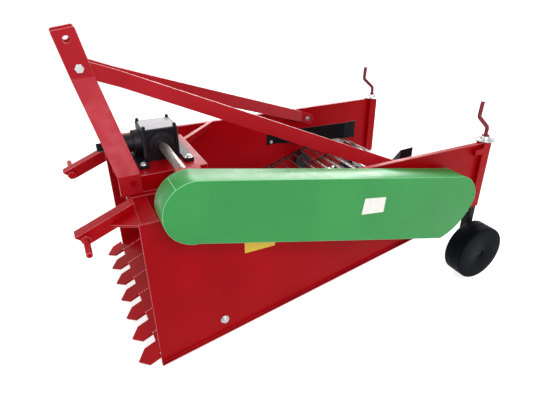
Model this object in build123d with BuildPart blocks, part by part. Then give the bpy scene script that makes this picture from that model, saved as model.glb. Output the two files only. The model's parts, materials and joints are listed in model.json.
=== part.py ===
"""Tractor-mounted potato harvester: share, rod-link conveyor, gearbox, hitch frame and depth wheels.

Frame: X forward, Y to the left, Z up, origin on the ground at the middle of the machine's box.
Sizes are in millimetres and degrees. Each sub-part is written to parts/ as one STEP file.
"""
import os
from math import asin, atan2, ceil, cos, degrees, hypot, pi, radians, sin, tan

from build123d import *

os.makedirs("parts", exist_ok=True)

# ---------------------------------------------------------------- driving dimensions
running_gap = 0.1              # radial clearance of a shaft that turns

# side plates
plate_inner = 444.0            # inner face to the middle plane
plate_thick = 6.0
plate_front_x = 773.0
plate_length = 1615.0
plate_top_z = 696.0
plate_rise = 11.5              # slope of the bottom edge
plate_step_gap = 8.0           # from the cross beam to the step in the top edge
lip_width = 15.0               # folded edges
lip_thick = 5.0

# front cross beam, a square tube
beam_size = 60.0
beam_wall = 5.0
beam_setback = 10.0            # front face behind the plates' front edge
beam_drop = 36.0               # top face below the plates' top edge

# gearbox bridge, a folded hat section that stands on the beam
bridge_half = 205.0
bridge_rise = 75.0
bridge_length = 325.0
bridge_sheet = 6.0
bridge_foot = 30.0

# diagonal angle struts from the bridge to the side plates
strut_leg = 30.0
strut_thick = 5.0
strut_reach = 241.0

# share and its teeth
share_reach = 84.0             # tooth points ahead of the plates
share_tip_z = 24.0
share_slope = 24.0
share_length = 322.0           # along the slope, from the tooth points to the rear edge
share_thick = 10.0
tooth_count = 7
tooth_width = 94.0
tooth_point = 38.0             # length of the pointed end
tooth_root_gap = 1.0           # tooth roots ahead of the plates
tooth_overhang = 26.0          # end teeth beyond the plates' outer faces

# lower hitch arms and their pins
arm_width = 52.0
arm_depth = 54.0
arm_wall = 5.0
arm_cap = 14.0                 # closed front end of the arm's tube
arm_middle = 314.5             # middle of the arm to the middle plane
arm_length = 217.0
arm_slope = 22.1
arm_front_drop = 55.0          # front top edge below the beam's top
arm_nose = 41.0                # how far the front end is cut back underneath
gusset_reach = 94.0            # along the arm
gusset_thick = 8.0
gusset_drop = 29.0             # below the arm's top face
pin_setback = 35.0             # behind the arm's front end
pin_drop = 13.0                # below the arm's front top edge
pin_dia = 22.0
pin_length = 105.5             # free length outside the shoulder
pin_shoulder_dia = 34.0
pin_shoulder = 10.0
pin_nut_radius = 19.0
pin_nut_thick = 16.0
pin_chamfer = 2.0

# mast: two flat bars bent at the foot and at the head
mast_width = 82.0
mast_thick = 12.0
mast_inner = 42.0              # inner face of the head to the middle plane
mast_foot_setback = 13.0       # middle of the foot behind the beam's front face
mast_foot_bend = 10.0          # foot bend above the bridge
mast_bevel = 6.0               # rise of the bends and the top edge across half the bar
mast_lean = 97.0               # top hole ahead of the beam's front face
mast_height = 563.0            # top hole above the beam
mast_top_margin = 35.0
mast_corner = 8.0              # rounding of the top corners
mast_head_drop = 137.0         # head bend below the top hole
mast_head_back = 28.5          # head bend behind the top hole
top_link_bore = 25.5
mast_bolt_drop = 100.0
mast_bolt_back = 22.0
mast_bolt_dia = 20.0
bolt_head_radius = 17.0
bolt_head_thick = 12.0
spacer_wall = 6.0

# braces from the mast to the side plates
brace_height = 60.0
brace_thick = 12.0
brace_bend_back = 132.0        # front bend behind the mast bolt
brace_end_ahead = 447.0        # rear bolt ahead of the plates' rear edge
brace_end_drop = 63.0          # rear bolt below the plates' top edge
brace_tail = 40.0              # flat end, to each side of the rear bolt
brace_head = 32.0              # ahead of the mast bolt
brace_corner = 27.0            # rounding of the rear end

# gearbox
box_ahead = 148.0              # middle of the box ahead of the bridge's rear end
box_length = 148.0
box_half_width = 76.0
box_height = 124.0
box_corner = 12.0
shaft_rise = 65.0              # shaft line above the bridge
cover_thick = 8.0
foot_thick = 14.0
foot_width = 40.0
foot_length = 300.0
foot_offset = 92.0             # middle of a foot to the middle of the box
boss_radius = 55.0
boss_height = 10.0
neck_radius = 34.0
neck_height = 5.0
rib_thick = 8.0
rib_height = 9.0
input_flange_radius = 52.0
input_flange_thick = 28.0
input_housing_radius = 38.0
input_housing_length = 85.0
input_dia = 34.9
input_length = 87.0
output_dia = 38.0

# chain case outside the left plate
case_gap = 28.0                # from the plate to the case
case_width = 110.0
case_sheet = 4.0
stud_radius = 14.0
stud_drop = 70.0               # studs below the line between the two shafts
case_front_reach = 128.0       # ahead of the output shaft
case_front_high = 48.0         # above the output shaft
case_front_lead = 5.0
case_front_mid_drop = 55.0
case_front_low = 184.0         # below the output shaft
case_front_low_lead = 16.0
case_rear_reach = 129.0        # behind the drive shaft
case_rear_rise = 42.0
case_rear_high = 167.0         # above the drive shaft
case_rear_high_mid = 135.0
case_rear_high_lag = 83.0
case_rear_low = 135.0          # below the drive shaft
case_rear_low_lead = 46.0
case_rear_low_mid = 68.0
bearing_top = 42.0             # outer bearing bracket, above and beside the shaft
bearing_foot_half = 70.0
bearing_foot_drop = 80.0

# rod-link conveyor
web_clear = 32.0               # from the plates to the outer links
web_pitch = 50.0
web_rod_dia = 10.0
link_thick = 7.0
link_height = 14.0
drive_ahead = 265.0            # drive shaft ahead of the plates' rear edge
drive_z = 455.0
drive_teeth = 7
drive_shaft_dia = 35.0
drive_hole_gap = 10.0          # clearance of the shaft in the plates' holes
tooth_rise = 7.0               # sprocket teeth above the rods' middle line
tooth_base = 14.0
sprocket_width = 16.0
lift_ahead = 242.0             # lift wheels ahead of the drive shaft
lift_z = 393.0
lift_radius = 55.0             # to the rods' middle line
lift_width = 24.0
lift_stub_dia = 30.0
idler_radius = 45.0            # to the rods' middle line
idler_shaft_dia = 30.0
idler_width = 24.0
idler_gap = 26.0               # rods' middle line behind the share
idler_drop = 27.0              # idler below the share's rear edge
wheel_inset = 23.0             # middle of the outer wheels inside the middle of the edge chain
bearing_plate = 90.0
bearing_plate_thick = 10.0
bearing_boss_radius = 32.0
bearing_depth = 24.0

# rear tie tube
tie_ahead = 72.0
tie_z = 385.0
tie_dia = 42.0
tie_wall = 3.5

# deflector sheets over the conveyor
sheet_thick = 4.0
sheet_end_y = 250.0
sheet_flat = 50.0              # part that lies on the side plate
sheet_front_ahead = 450.0      # ahead of the drive shaft
sheet_fold_ahead = 43.0
sheet_end_behind = 32.0
sheet_front_rise = 46.5        # lower edge above the drive shaft
sheet_fold_rise = 90.0
sheet_end_rise = 85.0
sheet_front_height = 69.0
sheet_fold_height = 94.0
sheet_end_height = 102.0

# screw jacks and depth wheels
sleeve_size = 50.0
sleeve_wall = 4.0
sleeve_middle = 445.0          # middle of the sleeve to the middle plane
sleeve_rise = 4.0              # above the plates' top edge
sleeve_length = 348.0
sleeve_corner = 4.0
strap_height = 28.0
strap_length = 48.0
collar_radius = 38.0
collar_flange = 7.0
collar_boss_radius = 25.0
collar_top_radius = 21.0
collar_height = 22.0
screw_dia = 20.0
screw_length = 285.0
crank_dia = 18.0
crank_bend_radius = 22.0
crank_stem = 42.0              # upright part above the collar
crank_rise = 59.5              # height of the slanting part
crank_throw = 70.0
crank_handle = 70.0
crank_lean = 4.0               # handle's top behind its foot
leg_size = 40.0
leg_wall = 4.0
leg_top_drop = 100.0           # below the sleeve's top
leg_foot_drop = 24.0           # below the axle
nut_height = 25.0
foot_plate_thick = 8.0
foot_plate_height = 64.0
wheel_ahead = 29.0             # axle ahead of the leg
wheel_radius = 142.0
wheel_width = 100.0
wheel_chamfer = 6.0
wheel_recess = 12.0
wheel_recess_radius = 18.0
axle_dia = 20.0
axle_shoulder_radius = 17.0
axle_shoulder = 16.5
axle_cap_radius = 15.0
axle_cap_thick = 7.0
side_play = 0.5

# ---------------------------------------------------------------- worked out sizes
sides = (("left", 1), ("right", -1))
plate_outer = plate_inner + plate_thick
plate_rear_x = plate_front_x - plate_length
plate_rear_z = plate_length * tan(radians(plate_rise))
beam_front_x = plate_front_x - beam_setback
beam_rear_x = beam_front_x - beam_size
beam_top_z = plate_top_z - beam_drop
bridge_rear_x = beam_front_x - bridge_length
bridge_top_z = beam_top_z + bridge_rise
shaft_z = bridge_top_z + shaft_rise
box_x = bridge_rear_x + box_ahead
share_tip_x = plate_front_x + share_reach
share_rear_x = share_tip_x - share_length * cos(radians(share_slope))
share_rear_z = share_tip_z + share_length * sin(radians(share_slope))
web_half = plate_inner - web_clear - link_thick    # face between inner and outer links
drive_x = plate_rear_x + drive_ahead
drive_radius = drive_teeth * web_pitch / (2 * pi)
lift_x = drive_x + lift_ahead
idler_x = share_rear_x - idler_gap - idler_radius
idler_z = share_rear_z - idler_drop
case_back_y = plate_outer + case_gap
case_face_y = case_back_y + case_width
sleeve_x = plate_rear_x - sleeve_size / 2


def write(part, label):
    """Label a finished piece and write it to its STEP file."""
    part.label = label
    export_step(part, f"parts/{label}.step")


def side_plane(y, s=1):
    """Plane parallel to the side plates, at y on side s. Local x is X, local y is Z.

    A positive extrusion amount of -s * depth runs outwards.
    """
    return Plane.XZ.offset(-s * y)


# ---------------------------------------------------------------- side plates
plate_step_x = beam_rear_x - plate_step_gap

for side, s in sides:
    with BuildPart() as side_plate:
        with BuildSketch(side_plane(plate_inner, s)):
            with BuildLine():
                Polyline(
                    (plate_front_x, 0),
                    (plate_front_x, beam_top_z),
                    (plate_step_x, beam_top_z),
                    (plate_step_x, plate_top_z),
                    (plate_rear_x, plate_top_z),
                    (plate_rear_x, plate_rear_z),
                    close=True,
                )
            make_face()
            with Locations((drive_x, drive_z)):
                Circle(drive_shaft_dia / 2 + drive_hole_gap, mode=Mode.SUBTRACT)
        extrude(amount=-s * plate_thick)
        # folded lips along the bottom and the top edge
        with BuildSketch(side_plane(plate_outer, s)):
            with BuildLine():
                Polyline(
                    (plate_front_x, 0),
                    (plate_front_x, lip_thick),
                    (plate_rear_x, plate_rear_z + lip_thick),
                    (plate_rear_x, plate_rear_z),
                    close=True,
                )
            make_face()
            with BuildLine():
                Polyline(
                    (plate_step_x, plate_top_z),
                    (plate_step_x, plate_top_z - lip_thick),
                    (plate_rear_x, plate_top_z - lip_thick),
                    (plate_rear_x, plate_top_z),
                    close=True,
                )
            make_face()
        extrude(amount=-s * lip_width)
    write(side_plate.part, f"side_plate_{side}")

# ---------------------------------------------------------------- share with its teeth
share_plane = Plane(
    origin=(share_tip_x, 0, share_tip_z),
    x_dir=(cos(radians(share_slope)), 0, -sin(radians(share_slope))),
    z_dir=(sin(radians(share_slope)), 0, cos(radians(share_slope))),
)
tooth_length = share_reach / cos(radians(share_slope)) - tooth_root_gap
tooth_row = 2 * (plate_outer + tooth_overhang) - tooth_width
with BuildPart() as share:
    with BuildSketch(share_plane):
        with Locations((-(tooth_length + share_length) / 2, 0)):
            Rectangle(share_length - tooth_length, 2 * plate_inner)
        for i in range(tooth_count):
            y = tooth_row * (i / (tooth_count - 1) - 0.5)
            with BuildLine():
                Polyline(
                    (0, y),
                    (-tooth_point, y + tooth_width / 2),
                    (-tooth_length, y + tooth_width / 2),
                    (-tooth_length, y - tooth_width / 2),
                    (-tooth_point, y - tooth_width / 2),
                    close=True,
                )
            make_face()
    extrude(amount=share_thick)
write(share.part, "share_blade")

# ---------------------------------------------------------------- front cross beam
with BuildPart() as beam:
    with BuildSketch(side_plane(plate_inner)):
        with Locations(((beam_front_x + beam_rear_x) / 2, beam_top_z - beam_size / 2)):
            Rectangle(beam_size, beam_size)
            Rectangle(beam_size - 2 * beam_wall, beam_size - 2 * beam_wall, mode=Mode.SUBTRACT)
    extrude(amount=2 * plate_inner)
write(beam.part, "front_beam")

# ---------------------------------------------------------------- gearbox bridge
with BuildPart() as bridge:
    with BuildSketch(Plane.YZ.offset(bridge_rear_x)):
        with BuildLine():
            Polyline(
                (-bridge_half - bridge_foot, beam_top_z),
                (-bridge_half - bridge_foot, beam_top_z + bridge_sheet),
                (-bridge_half, beam_top_z + bridge_sheet),
                (-bridge_half, bridge_top_z),
                (bridge_half, bridge_top_z),
                (bridge_half, beam_top_z + bridge_sheet),
                (bridge_half + bridge_foot, beam_top_z + bridge_sheet),
                (bridge_half + bridge_foot, beam_top_z),
                (bridge_half - bridge_sheet, beam_top_z),
                (bridge_half - bridge_sheet, bridge_top_z - bridge_sheet),
                (-bridge_half + bridge_sheet, bridge_top_z - bridge_sheet),
                (-bridge_half + bridge_sheet, beam_top_z),
                close=True,
            )
        make_face()
    extrude(amount=bridge_length)
write(bridge.part, "gearbox_bridge")

# ---------------------------------------------------------------- diagonal angle struts
strut_plate_x = bridge_rear_x - strut_reach
# legs of the angle: width along X, depth
strut_legs = ((strut_leg, strut_thick), (strut_thick, strut_leg))
for side, s in sides:
    with BuildPart() as strut:
        for width, depth in strut_legs:
            with BuildSketch(Plane.XY.offset(plate_top_z)):
                with BuildLine():
                    Polyline(
                        (bridge_rear_x + width, s * bridge_half),
                        (bridge_rear_x, s * bridge_half),
                        (strut_plate_x, s * plate_inner),
                        (strut_plate_x + width, s * plate_inner),
                        close=True,
                    )
                make_face()
            extrude(amount=-depth)
    write(strut.part, f"bridge_strut_{side}")

# ---------------------------------------------------------------- lower hitch arms
arm_fall = tan(radians(arm_slope))
arm_front_x = beam_front_x + arm_length
arm_front_z = beam_top_z - arm_front_drop
arm_rear_z = arm_front_z + arm_length * arm_fall
arm_near = arm_middle - arm_width / 2
arm_far = arm_middle + arm_width / 2
bore_edge = arm_wall * hypot(1, arm_fall)
bore_front_x = arm_front_x - arm_cap
bore_nose_x = arm_front_x - arm_nose - arm_wall
bore_nose_z = arm_front_z + (arm_nose + arm_wall) * arm_fall - arm_depth + bore_edge
pin_x = arm_front_x - pin_setback
pin_z = arm_front_z - pin_drop
gusset_edge = gusset_thick * hypot(1, arm_fall)

for side, s in sides:
    with BuildPart() as arm:
        with BuildSketch(side_plane(arm_near, s)):
            with BuildLine():
                Polyline(
                    (arm_front_x, arm_front_z),
                    (arm_front_x - arm_nose, arm_front_z + arm_nose * arm_fall - arm_depth),
                    (beam_front_x, arm_rear_z - arm_depth),
                    (beam_front_x, arm_rear_z),
                    close=True,
                )
            make_face()
        extrude(amount=-s * arm_width)
        # the tube's bore, closed at the front end
        with BuildSketch(side_plane(arm_near + arm_wall, s)):
            with BuildLine():
                Polyline(
                    (bore_front_x, arm_front_z + arm_cap * arm_fall - bore_edge),
                    (bore_nose_x, bore_nose_z),
                    (beam_front_x, arm_rear_z - arm_depth + bore_edge),
                    (beam_front_x, arm_rear_z - bore_edge),
                    close=True,
                )
            make_face()
        extrude(amount=-s * (arm_width - 2 * arm_wall), mode=Mode.SUBTRACT)
        with BuildSketch(side_plane(arm_near, s)):
            with Locations((pin_x, pin_z)):
                Circle(pin_dia / 2)
        extrude(amount=-s * arm_width, mode=Mode.SUBTRACT)
    write(arm.part, f"hitch_arm_{side}")

    # pin with a shoulder outside the arm and a nut inside it
    with BuildPart() as pin:
        with BuildSketch(side_plane(arm_near - pin_nut_thick, s)):
            with Locations((pin_x, pin_z)):
                RegularPolygon(pin_nut_radius, 6)
        extrude(amount=-s * pin_nut_thick)
        with BuildSketch(side_plane(arm_near, s)):
            with Locations((pin_x, pin_z)):
                Circle(pin_dia / 2)
        extrude(amount=-s * (arm_width + pin_shoulder + pin_length))
        with BuildSketch(side_plane(arm_far, s)):
            with Locations((pin_x, pin_z)):
                Circle(pin_shoulder_dia / 2)
        extrude(amount=-s * pin_shoulder)
        chamfer(pin.faces().sort_by(Axis.Y)[-1 if s > 0 else 0].edges(), pin_chamfer)
    write(pin.part, f"hitch_pin_{side}")

    # gusset between the arm and the corner of the side plate
    with BuildPart() as gusset:
        with BuildSketch():
            with BuildLine():
                Polyline(
                    (beam_front_x, s * arm_far),
                    (beam_front_x + gusset_reach, s * arm_far),
                    (plate_front_x, s * plate_outer),
                    (plate_front_x, s * plate_inner),
                    (beam_front_x, s * plate_inner),
                    close=True,
                )
            make_face()
        extrude(amount=arm_rear_z)
        # the plate from the side, sloped as the arm is
        with BuildSketch(side_plane(0, s)):
            with BuildLine():
                Polyline(
                    (beam_front_x, arm_rear_z - gusset_drop),
                    (arm_front_x, arm_front_z - gusset_drop),
                    (arm_front_x, arm_front_z - gusset_drop - gusset_edge),
                    (beam_front_x, arm_rear_z - gusset_drop - gusset_edge),
                    close=True,
                )
            make_face()
        extrude(amount=-s * plate_outer, mode=Mode.INTERSECT)
    write(gusset.part, f"arm_gusset_{side}")

# ---------------------------------------------------------------- mast bars
mast_foot_x = beam_front_x - mast_foot_setback
mast_foot_bend_z = bridge_top_z + mast_foot_bend
mast_hole_x = beam_front_x + mast_lean
mast_hole_z = beam_top_z + mast_height
mast_head_x = mast_hole_x - mast_head_back
mast_head_z = mast_hole_z - mast_head_drop
mast_top_x = mast_hole_x + mast_top_margin * mast_head_back / mast_head_drop
mast_top_z = mast_hole_z + mast_top_margin
mast_bolt_x = mast_hole_x - mast_bolt_back
mast_bolt_z = mast_hole_z - mast_bolt_drop
# the bar's ends and bends from the side: middle x, z, rise of the edge across the bar
mast_stations = (
    (mast_foot_x, beam_top_z + bridge_sheet, 0),
    (mast_foot_x, mast_foot_bend_z, mast_bevel),
    (mast_head_x, mast_head_z, mast_bevel),
    (mast_top_x, mast_top_z, mast_bevel),
)
mast_bend = atan2(bridge_half - mast_inner, mast_head_z - mast_foot_bend_z)
mast_bend_rise = mast_thick * tan(mast_bend / 2)
mast_front_edge = [(x + mast_width / 2, z - rise) for x, z, rise in mast_stations]
mast_rear_edge = [(x - mast_width / 2, z + rise) for x, z, rise in mast_stations]

for side, s in sides:
    with BuildPart() as mast:
        with BuildSketch(side_plane(0, s)) as mast_side:
            with BuildLine():
                Polyline(*mast_front_edge, *reversed(mast_rear_edge), close=True)
            make_face()
            fillet(mast_side.vertices().sort_by(Axis.Y)[-2:], mast_corner)
            with Locations((mast_hole_x, mast_hole_z)):
                Circle(top_link_bore / 2, mode=Mode.SUBTRACT)
            with Locations((mast_bolt_x, mast_bolt_z)):
                Circle(mast_bolt_dia / 2, mode=Mode.SUBTRACT)
        extrude(amount=-s * plate_outer)
        # the bends, seen from the front
        with BuildSketch(Plane.YZ.offset(mast_foot_x - mast_width)):
            with BuildLine():
                Polyline(
                    (s * bridge_half, beam_top_z),
                    (s * bridge_half, mast_foot_bend_z),
                    (s * mast_inner, mast_head_z),
                    (s * mast_inner, mast_top_z + mast_width),
                    (s * (mast_inner + mast_thick), mast_top_z + mast_width),
                    (s * (mast_inner + mast_thick), mast_head_z + mast_bend_rise),
                    (s * (bridge_half + mast_thick), mast_foot_bend_z + mast_bend_rise),
                    (s * (bridge_half + mast_thick), beam_top_z),
                    close=True,
                )
            make_face()
        extrude(amount=mast_lean + 3 * mast_width, mode=Mode.INTERSECT)
    write(mast.part, f"mast_bar_{side}")

# ---------------------------------------------------------------- braces
brace_end_x = plate_rear_x + brace_end_ahead
brace_end_z = plate_top_z - brace_end_drop
brace_slope = (mast_bolt_z - brace_end_z) / (mast_bolt_x - brace_end_x)
brace_half_z = brace_height / 2 * hypot(1, brace_slope)
brace_head_x = mast_bolt_x + brace_head
brace_tail_x = brace_end_x - brace_tail
# the bar seen from above: x, y of its outer face
brace_route = (
    (brace_head_x, mast_inner),
    (mast_bolt_x - brace_bend_back, mast_inner),
    (brace_end_x + brace_tail, plate_inner),
    (brace_tail_x, plate_inner),
)


def brace_z(x):
    """Height of the brace's middle line at x."""
    return brace_end_z + (x - brace_end_x) * brace_slope


for side, s in sides:
    with BuildPart() as brace:
        with BuildSketch(side_plane(0, s)) as brace_side:
            with BuildLine():
                Polyline(
                    (brace_head_x, brace_z(brace_head_x) - brace_half_z),
                    (brace_head_x, brace_z(brace_head_x) + brace_half_z),
                    (brace_tail_x, brace_z(brace_tail_x) + brace_half_z),
                    (brace_tail_x, brace_z(brace_tail_x) - brace_half_z),
                    close=True,
                )
            make_face()
            fillet(brace_side.vertices().group_by(Axis.X)[0], brace_corner)
            with Locations((mast_bolt_x, mast_bolt_z)):
                Circle(mast_bolt_dia / 2, mode=Mode.SUBTRACT)
        extrude(amount=-s * plate_outer)
        with BuildSketch():
            with BuildLine():
                outer_face = [(x, s * y) for x, y in brace_route]
                inner_face = [(x, s * (y - brace_thick)) for x, y in reversed(brace_route)]
                Polyline(*outer_face, *inner_face, close=True)
            make_face()
        extrude(amount=mast_top_z, mode=Mode.INTERSECT)
    write(brace.part, f"mast_brace_{side}")

# ---------------------------------------------------------------- mast bolt with its spacer
bolt_grip = mast_inner + mast_thick
spacer_half = mast_inner - brace_thick
with BuildPart() as mast_bolt:
    # shank and spacer: half length, radius
    for half, radius in (
        (bolt_grip, mast_bolt_dia / 2),
        (spacer_half, mast_bolt_dia / 2 + spacer_wall),
    ):
        with BuildSketch(side_plane(-half)):
            with Locations((mast_bolt_x, mast_bolt_z)):
                Circle(radius)
        extrude(amount=-2 * half)
    for y in (-bolt_grip - bolt_head_thick, bolt_grip):
        with BuildSketch(side_plane(y)):
            with Locations((mast_bolt_x, mast_bolt_z)):
                RegularPolygon(bolt_head_radius, 6)
        extrude(amount=-bolt_head_thick)
write(mast_bolt.part, "mast_bolt")

# ---------------------------------------------------------------- gearbox
box_front_x = box_x + box_length / 2
box_cover_z = bridge_top_z + box_height
input_housing_end_x = box_front_x + input_housing_length
with BuildPart() as gearbox:
    with BuildSketch(Plane.XY.offset(bridge_top_z)):
        with Locations((box_x, 0)):
            RectangleRounded(box_length, 2 * box_half_width, box_corner)
    extrude(amount=box_height)
    with BuildSketch(Plane.XY.offset(bridge_top_z)):
        with Locations((box_x - foot_offset, 0), (box_x + foot_offset, 0)):
            RectangleRounded(foot_width, foot_length, box_corner)
        with Locations((box_x, 0)):
            Rectangle(2 * foot_offset, 2 * box_half_width)
    extrude(amount=foot_thick)
    # ribs down the side walls, beside the bearing bosses
    for s in (1, -1):
        with BuildSketch(Plane.XY.offset(bridge_top_z)):
            for x in (box_x - box_length / 2 + box_corner, box_front_x - box_corner):
                with Locations((x, s * (box_half_width + rib_height / 2))):
                    Rectangle(rib_thick, rib_height)
        extrude(amount=box_height)
    # bearing bosses: first y, radius, height
    for s in (1, -1):
        for y, radius, height in (
            (box_half_width, boss_radius, boss_height),
            (box_half_width + boss_height, neck_radius, neck_height),
        ):
            with BuildSketch(side_plane(y, s)):
                with Locations((box_x, shaft_z)):
                    Circle(radius)
            extrude(amount=-s * height)
    # input housing: radius, length
    for radius, length in (
        (input_flange_radius, input_flange_thick),
        (input_housing_radius, input_housing_length),
    ):
        with BuildSketch(Plane.YZ.offset(box_front_x)):
            with Locations((0, shaft_z)):
                Circle(radius)
        extrude(amount=length)
write(gearbox.part, "gearbox_case")

with BuildPart() as cover:
    with BuildSketch(Plane.XY.offset(box_cover_z)):
        with Locations((box_x, 0)):
            RectangleRounded(box_length, 2 * box_half_width, box_corner)
    extrude(amount=cover_thick)
write(cover.part, "gearbox_cover")

with BuildPart() as input_shaft:
    with BuildSketch(Plane.YZ.offset(input_housing_end_x)):
        with Locations((0, shaft_z)):
            Circle(input_dia / 2)
    extrude(amount=input_length)
write(input_shaft.part, "input_shaft")

shaft_start_y = box_half_width + boss_height + neck_height
output_end_y = case_back_y + case_width / 2
with BuildPart() as output_shaft:
    with BuildSketch(side_plane(shaft_start_y)):
        with Locations((box_x, shaft_z)):
            Circle(output_dia / 2)
    extrude(amount=-(output_end_y - shaft_start_y))
write(output_shaft.part, "output_shaft")

# ---------------------------------------------------------------- outer bearing of the output shaft
bearing_foot_z = plate_top_z - bearing_foot_drop
with BuildPart() as outrigger:
    with BuildSketch(side_plane(plate_outer)):
        with BuildLine():
            Polyline(
                (box_x - bearing_foot_half, bearing_foot_z),
                (box_x + bearing_foot_half, bearing_foot_z),
                (box_x + bearing_top, shaft_z + bearing_top),
                (box_x - bearing_top, shaft_z + bearing_top),
                close=True,
            )
        make_face()
        with Locations((box_x, shaft_z)):
            Circle(output_dia / 2 + running_gap, mode=Mode.SUBTRACT)
    extrude(amount=-case_gap)
    # slot for the lip of the side plate
    with BuildSketch(side_plane(plate_outer)):
        with Locations((box_x, plate_top_z - lip_thick / 2)):
            Rectangle(3 * bearing_foot_half, lip_thick)
    extrude(amount=-lip_width, mode=Mode.SUBTRACT)
write(outrigger.part, "shaft_bearing")

# ---------------------------------------------------------------- chain case
# points on the outline, round the output shaft and then round the drive shaft
front_low = (box_x + case_front_low_lead, shaft_z - case_front_low)
front_mid = (box_x + case_front_reach, shaft_z - case_front_mid_drop)
front_high = (box_x + case_front_lead, shaft_z + case_front_high)
rear_high = (drive_x, drive_z + case_rear_high)
rear_high_mid = (drive_x - case_rear_high_lag, drive_z + case_rear_high_mid)
rear_end = (drive_x - case_rear_reach, drive_z + case_rear_rise)
rear_low_mid = (drive_x - case_rear_low_mid, drive_z - case_rear_low_mid)
rear_low = (drive_x + case_rear_low_lead, drive_z - case_rear_low)
# studs between the plate and the case, as shares of the way from shaft to shaft
stud_places = (0.21, 0.61)

with BuildSketch() as case_outline:
    with BuildLine():
        ThreePointArc(front_low, front_mid, front_high)
        Line(front_high, rear_high)
        ThreePointArc(rear_high, rear_high_mid, rear_end)
        ThreePointArc(rear_end, rear_low_mid, rear_low)
        Line(rear_low, front_low)
    make_face()
with BuildSketch() as case_inside:
    add(case_outline.sketch)
    offset(amount=-case_sheet, mode=Mode.REPLACE)

with BuildPart() as case_back:
    with BuildSketch(side_plane(case_back_y)):
        add(case_outline.sketch)
        with Locations((box_x, shaft_z)):
            Circle(output_dia / 2 + running_gap, mode=Mode.SUBTRACT)
        with Locations((drive_x, drive_z)):
            Circle(drive_shaft_dia / 2 + running_gap, mode=Mode.SUBTRACT)
    extrude(amount=-case_sheet)
    with BuildSketch(side_plane(plate_outer)):
        for t in stud_places:
            x = box_x + (drive_x - box_x) * t
            z = shaft_z + (drive_z - shaft_z) * t - stud_drop
            with Locations((x, z)):
                Circle(stud_radius)
    extrude(amount=-case_gap)
write(case_back.part, "chain_case_back")

with BuildPart() as case_cover:
    with BuildSketch(side_plane(case_back_y + case_sheet)):
        add(case_outline.sketch)
    extrude(amount=-(case_width - case_sheet))
    with BuildSketch(side_plane(case_back_y + case_sheet)):
        add(case_inside.sketch)
    extrude(amount=-(case_width - 2 * case_sheet), mode=Mode.SUBTRACT)
write(case_cover.part, "chain_case_cover")

# ---------------------------------------------------------------- conveyor loop
# wheels that the web runs round: x, z, radius of the rods' middle line
loop = (
    (idler_x, idler_z, idler_radius),
    (lift_x, lift_z, lift_radius),
    (drive_x, drive_z, drive_radius),
)


def loop_spans():
    """Straight runs and arcs of the loop in order, each as kind, length and shape."""
    runs = []
    for (x0, z0, r0), (x1, z1, r1) in zip(loop, loop[1:] + loop[:1]):
        reach = hypot(x1 - x0, z1 - z0)
        normal = atan2(z1 - z0, x1 - x0) - pi / 2 + asin((r0 - r1) / reach)
        start = (x0 + r0 * cos(normal), z0 + r0 * sin(normal))
        end = (x1 + r1 * cos(normal), z1 + r1 * sin(normal))
        runs.append((start, end, normal))
    spans = []
    for i, (start, end, normal) in enumerate(runs):
        spans.append(("run", hypot(end[0] - start[0], end[1] - start[1]), (start, end)))
        x, z, r = loop[(i + 1) % len(loop)]
        turn = (runs[(i + 1) % len(runs)][2] - normal) % (2 * pi)
        spans.append(("arc", turn * r, (x, z, r, normal)))
    return spans


def rod_places():
    """Places of the rods, x and z. Their even number lets inner and outer links alternate."""
    spans = loop_spans()
    total = sum(length for _, length, _ in spans)
    count = 2 * round(total / web_pitch / 2)
    places = []
    for k in range(count):
        along = k * total / count
        for kind, length, shape in spans:
            if along < length:
                break
            along -= length
        if kind == "run":
            (x0, z0), (x1, z1) = shape
            t = along / length
            places.append((x0 + (x1 - x0) * t, z0 + (z1 - z0) * t))
        else:
            x, z, r, first = shape
            angle = first + along / r
            places.append((x + r * cos(angle), z + r * sin(angle)))
    return places


rods = rod_places()
link_ends = list(zip(rods, rods[1:] + rods[:1]))
with BuildPart() as web:
    with BuildSketch(side_plane(-web_half - link_thick / 2)):
        with Locations(*rods):
            RegularPolygon(web_rod_dia / 2, 8)
    extrude(amount=-2 * web_half - link_thick)
    # hooked links along both edges, set in turn inside and outside the middle of the chain
    for s in (1, -1):
        for first, link_near in enumerate((web_half - link_thick, web_half)):
            with BuildSketch(side_plane(link_near, s)):
                for (x0, z0), (x1, z1) in link_ends[first::2]:
                    middle = ((x0 + x1) / 2, (z0 + z1) / 2)
                    with Locations(Location(middle, degrees(atan2(z1 - z0, x1 - x0)))):
                        Rectangle(hypot(x1 - x0, z1 - z0) + link_height, link_height)
            extrude(amount=-s * link_thick)
write(web.part, "conveyor_web")

# ---------------------------------------------------------------- shafts and wheels inside the web
rod_seat = web_rod_dia / 2 + running_gap
wheel_row_half = web_half - wheel_inset

tooth_height = tooth_rise + 2 * rod_seat
tooth_middle = drive_radius + tooth_rise - tooth_height / 2
drive_reach = [abs(hypot(x - drive_x, z - drive_z) - drive_radius) for x, z in rods]
driven_x, driven_z = rods[drive_reach.index(min(drive_reach))]
tooth_angle = degrees(atan2(driven_z - drive_z, driven_x - drive_x)) + 180 / drive_teeth
with BuildPart() as drive_shaft:
    with BuildSketch(side_plane(output_end_y)):
        with Locations((drive_x, drive_z)):
            Circle(drive_shaft_dia / 2)
    extrude(amount=output_end_y + plate_outer + bearing_depth)
    # sprockets with a tooth between each two rods
    for spread in (-1, -1 / 3, 1 / 3, 1):
        with BuildSketch(side_plane(spread * wheel_row_half + sprocket_width / 2)):
            with Locations((drive_x, drive_z)):
                Circle(drive_radius - rod_seat)
                with PolarLocations(0, drive_teeth, start_angle=tooth_angle):
                    with Locations((tooth_middle, 0)):
                        Rectangle(tooth_height, tooth_base)
        extrude(amount=sprocket_width)
write(drive_shaft.part, "drive_shaft")

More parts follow.
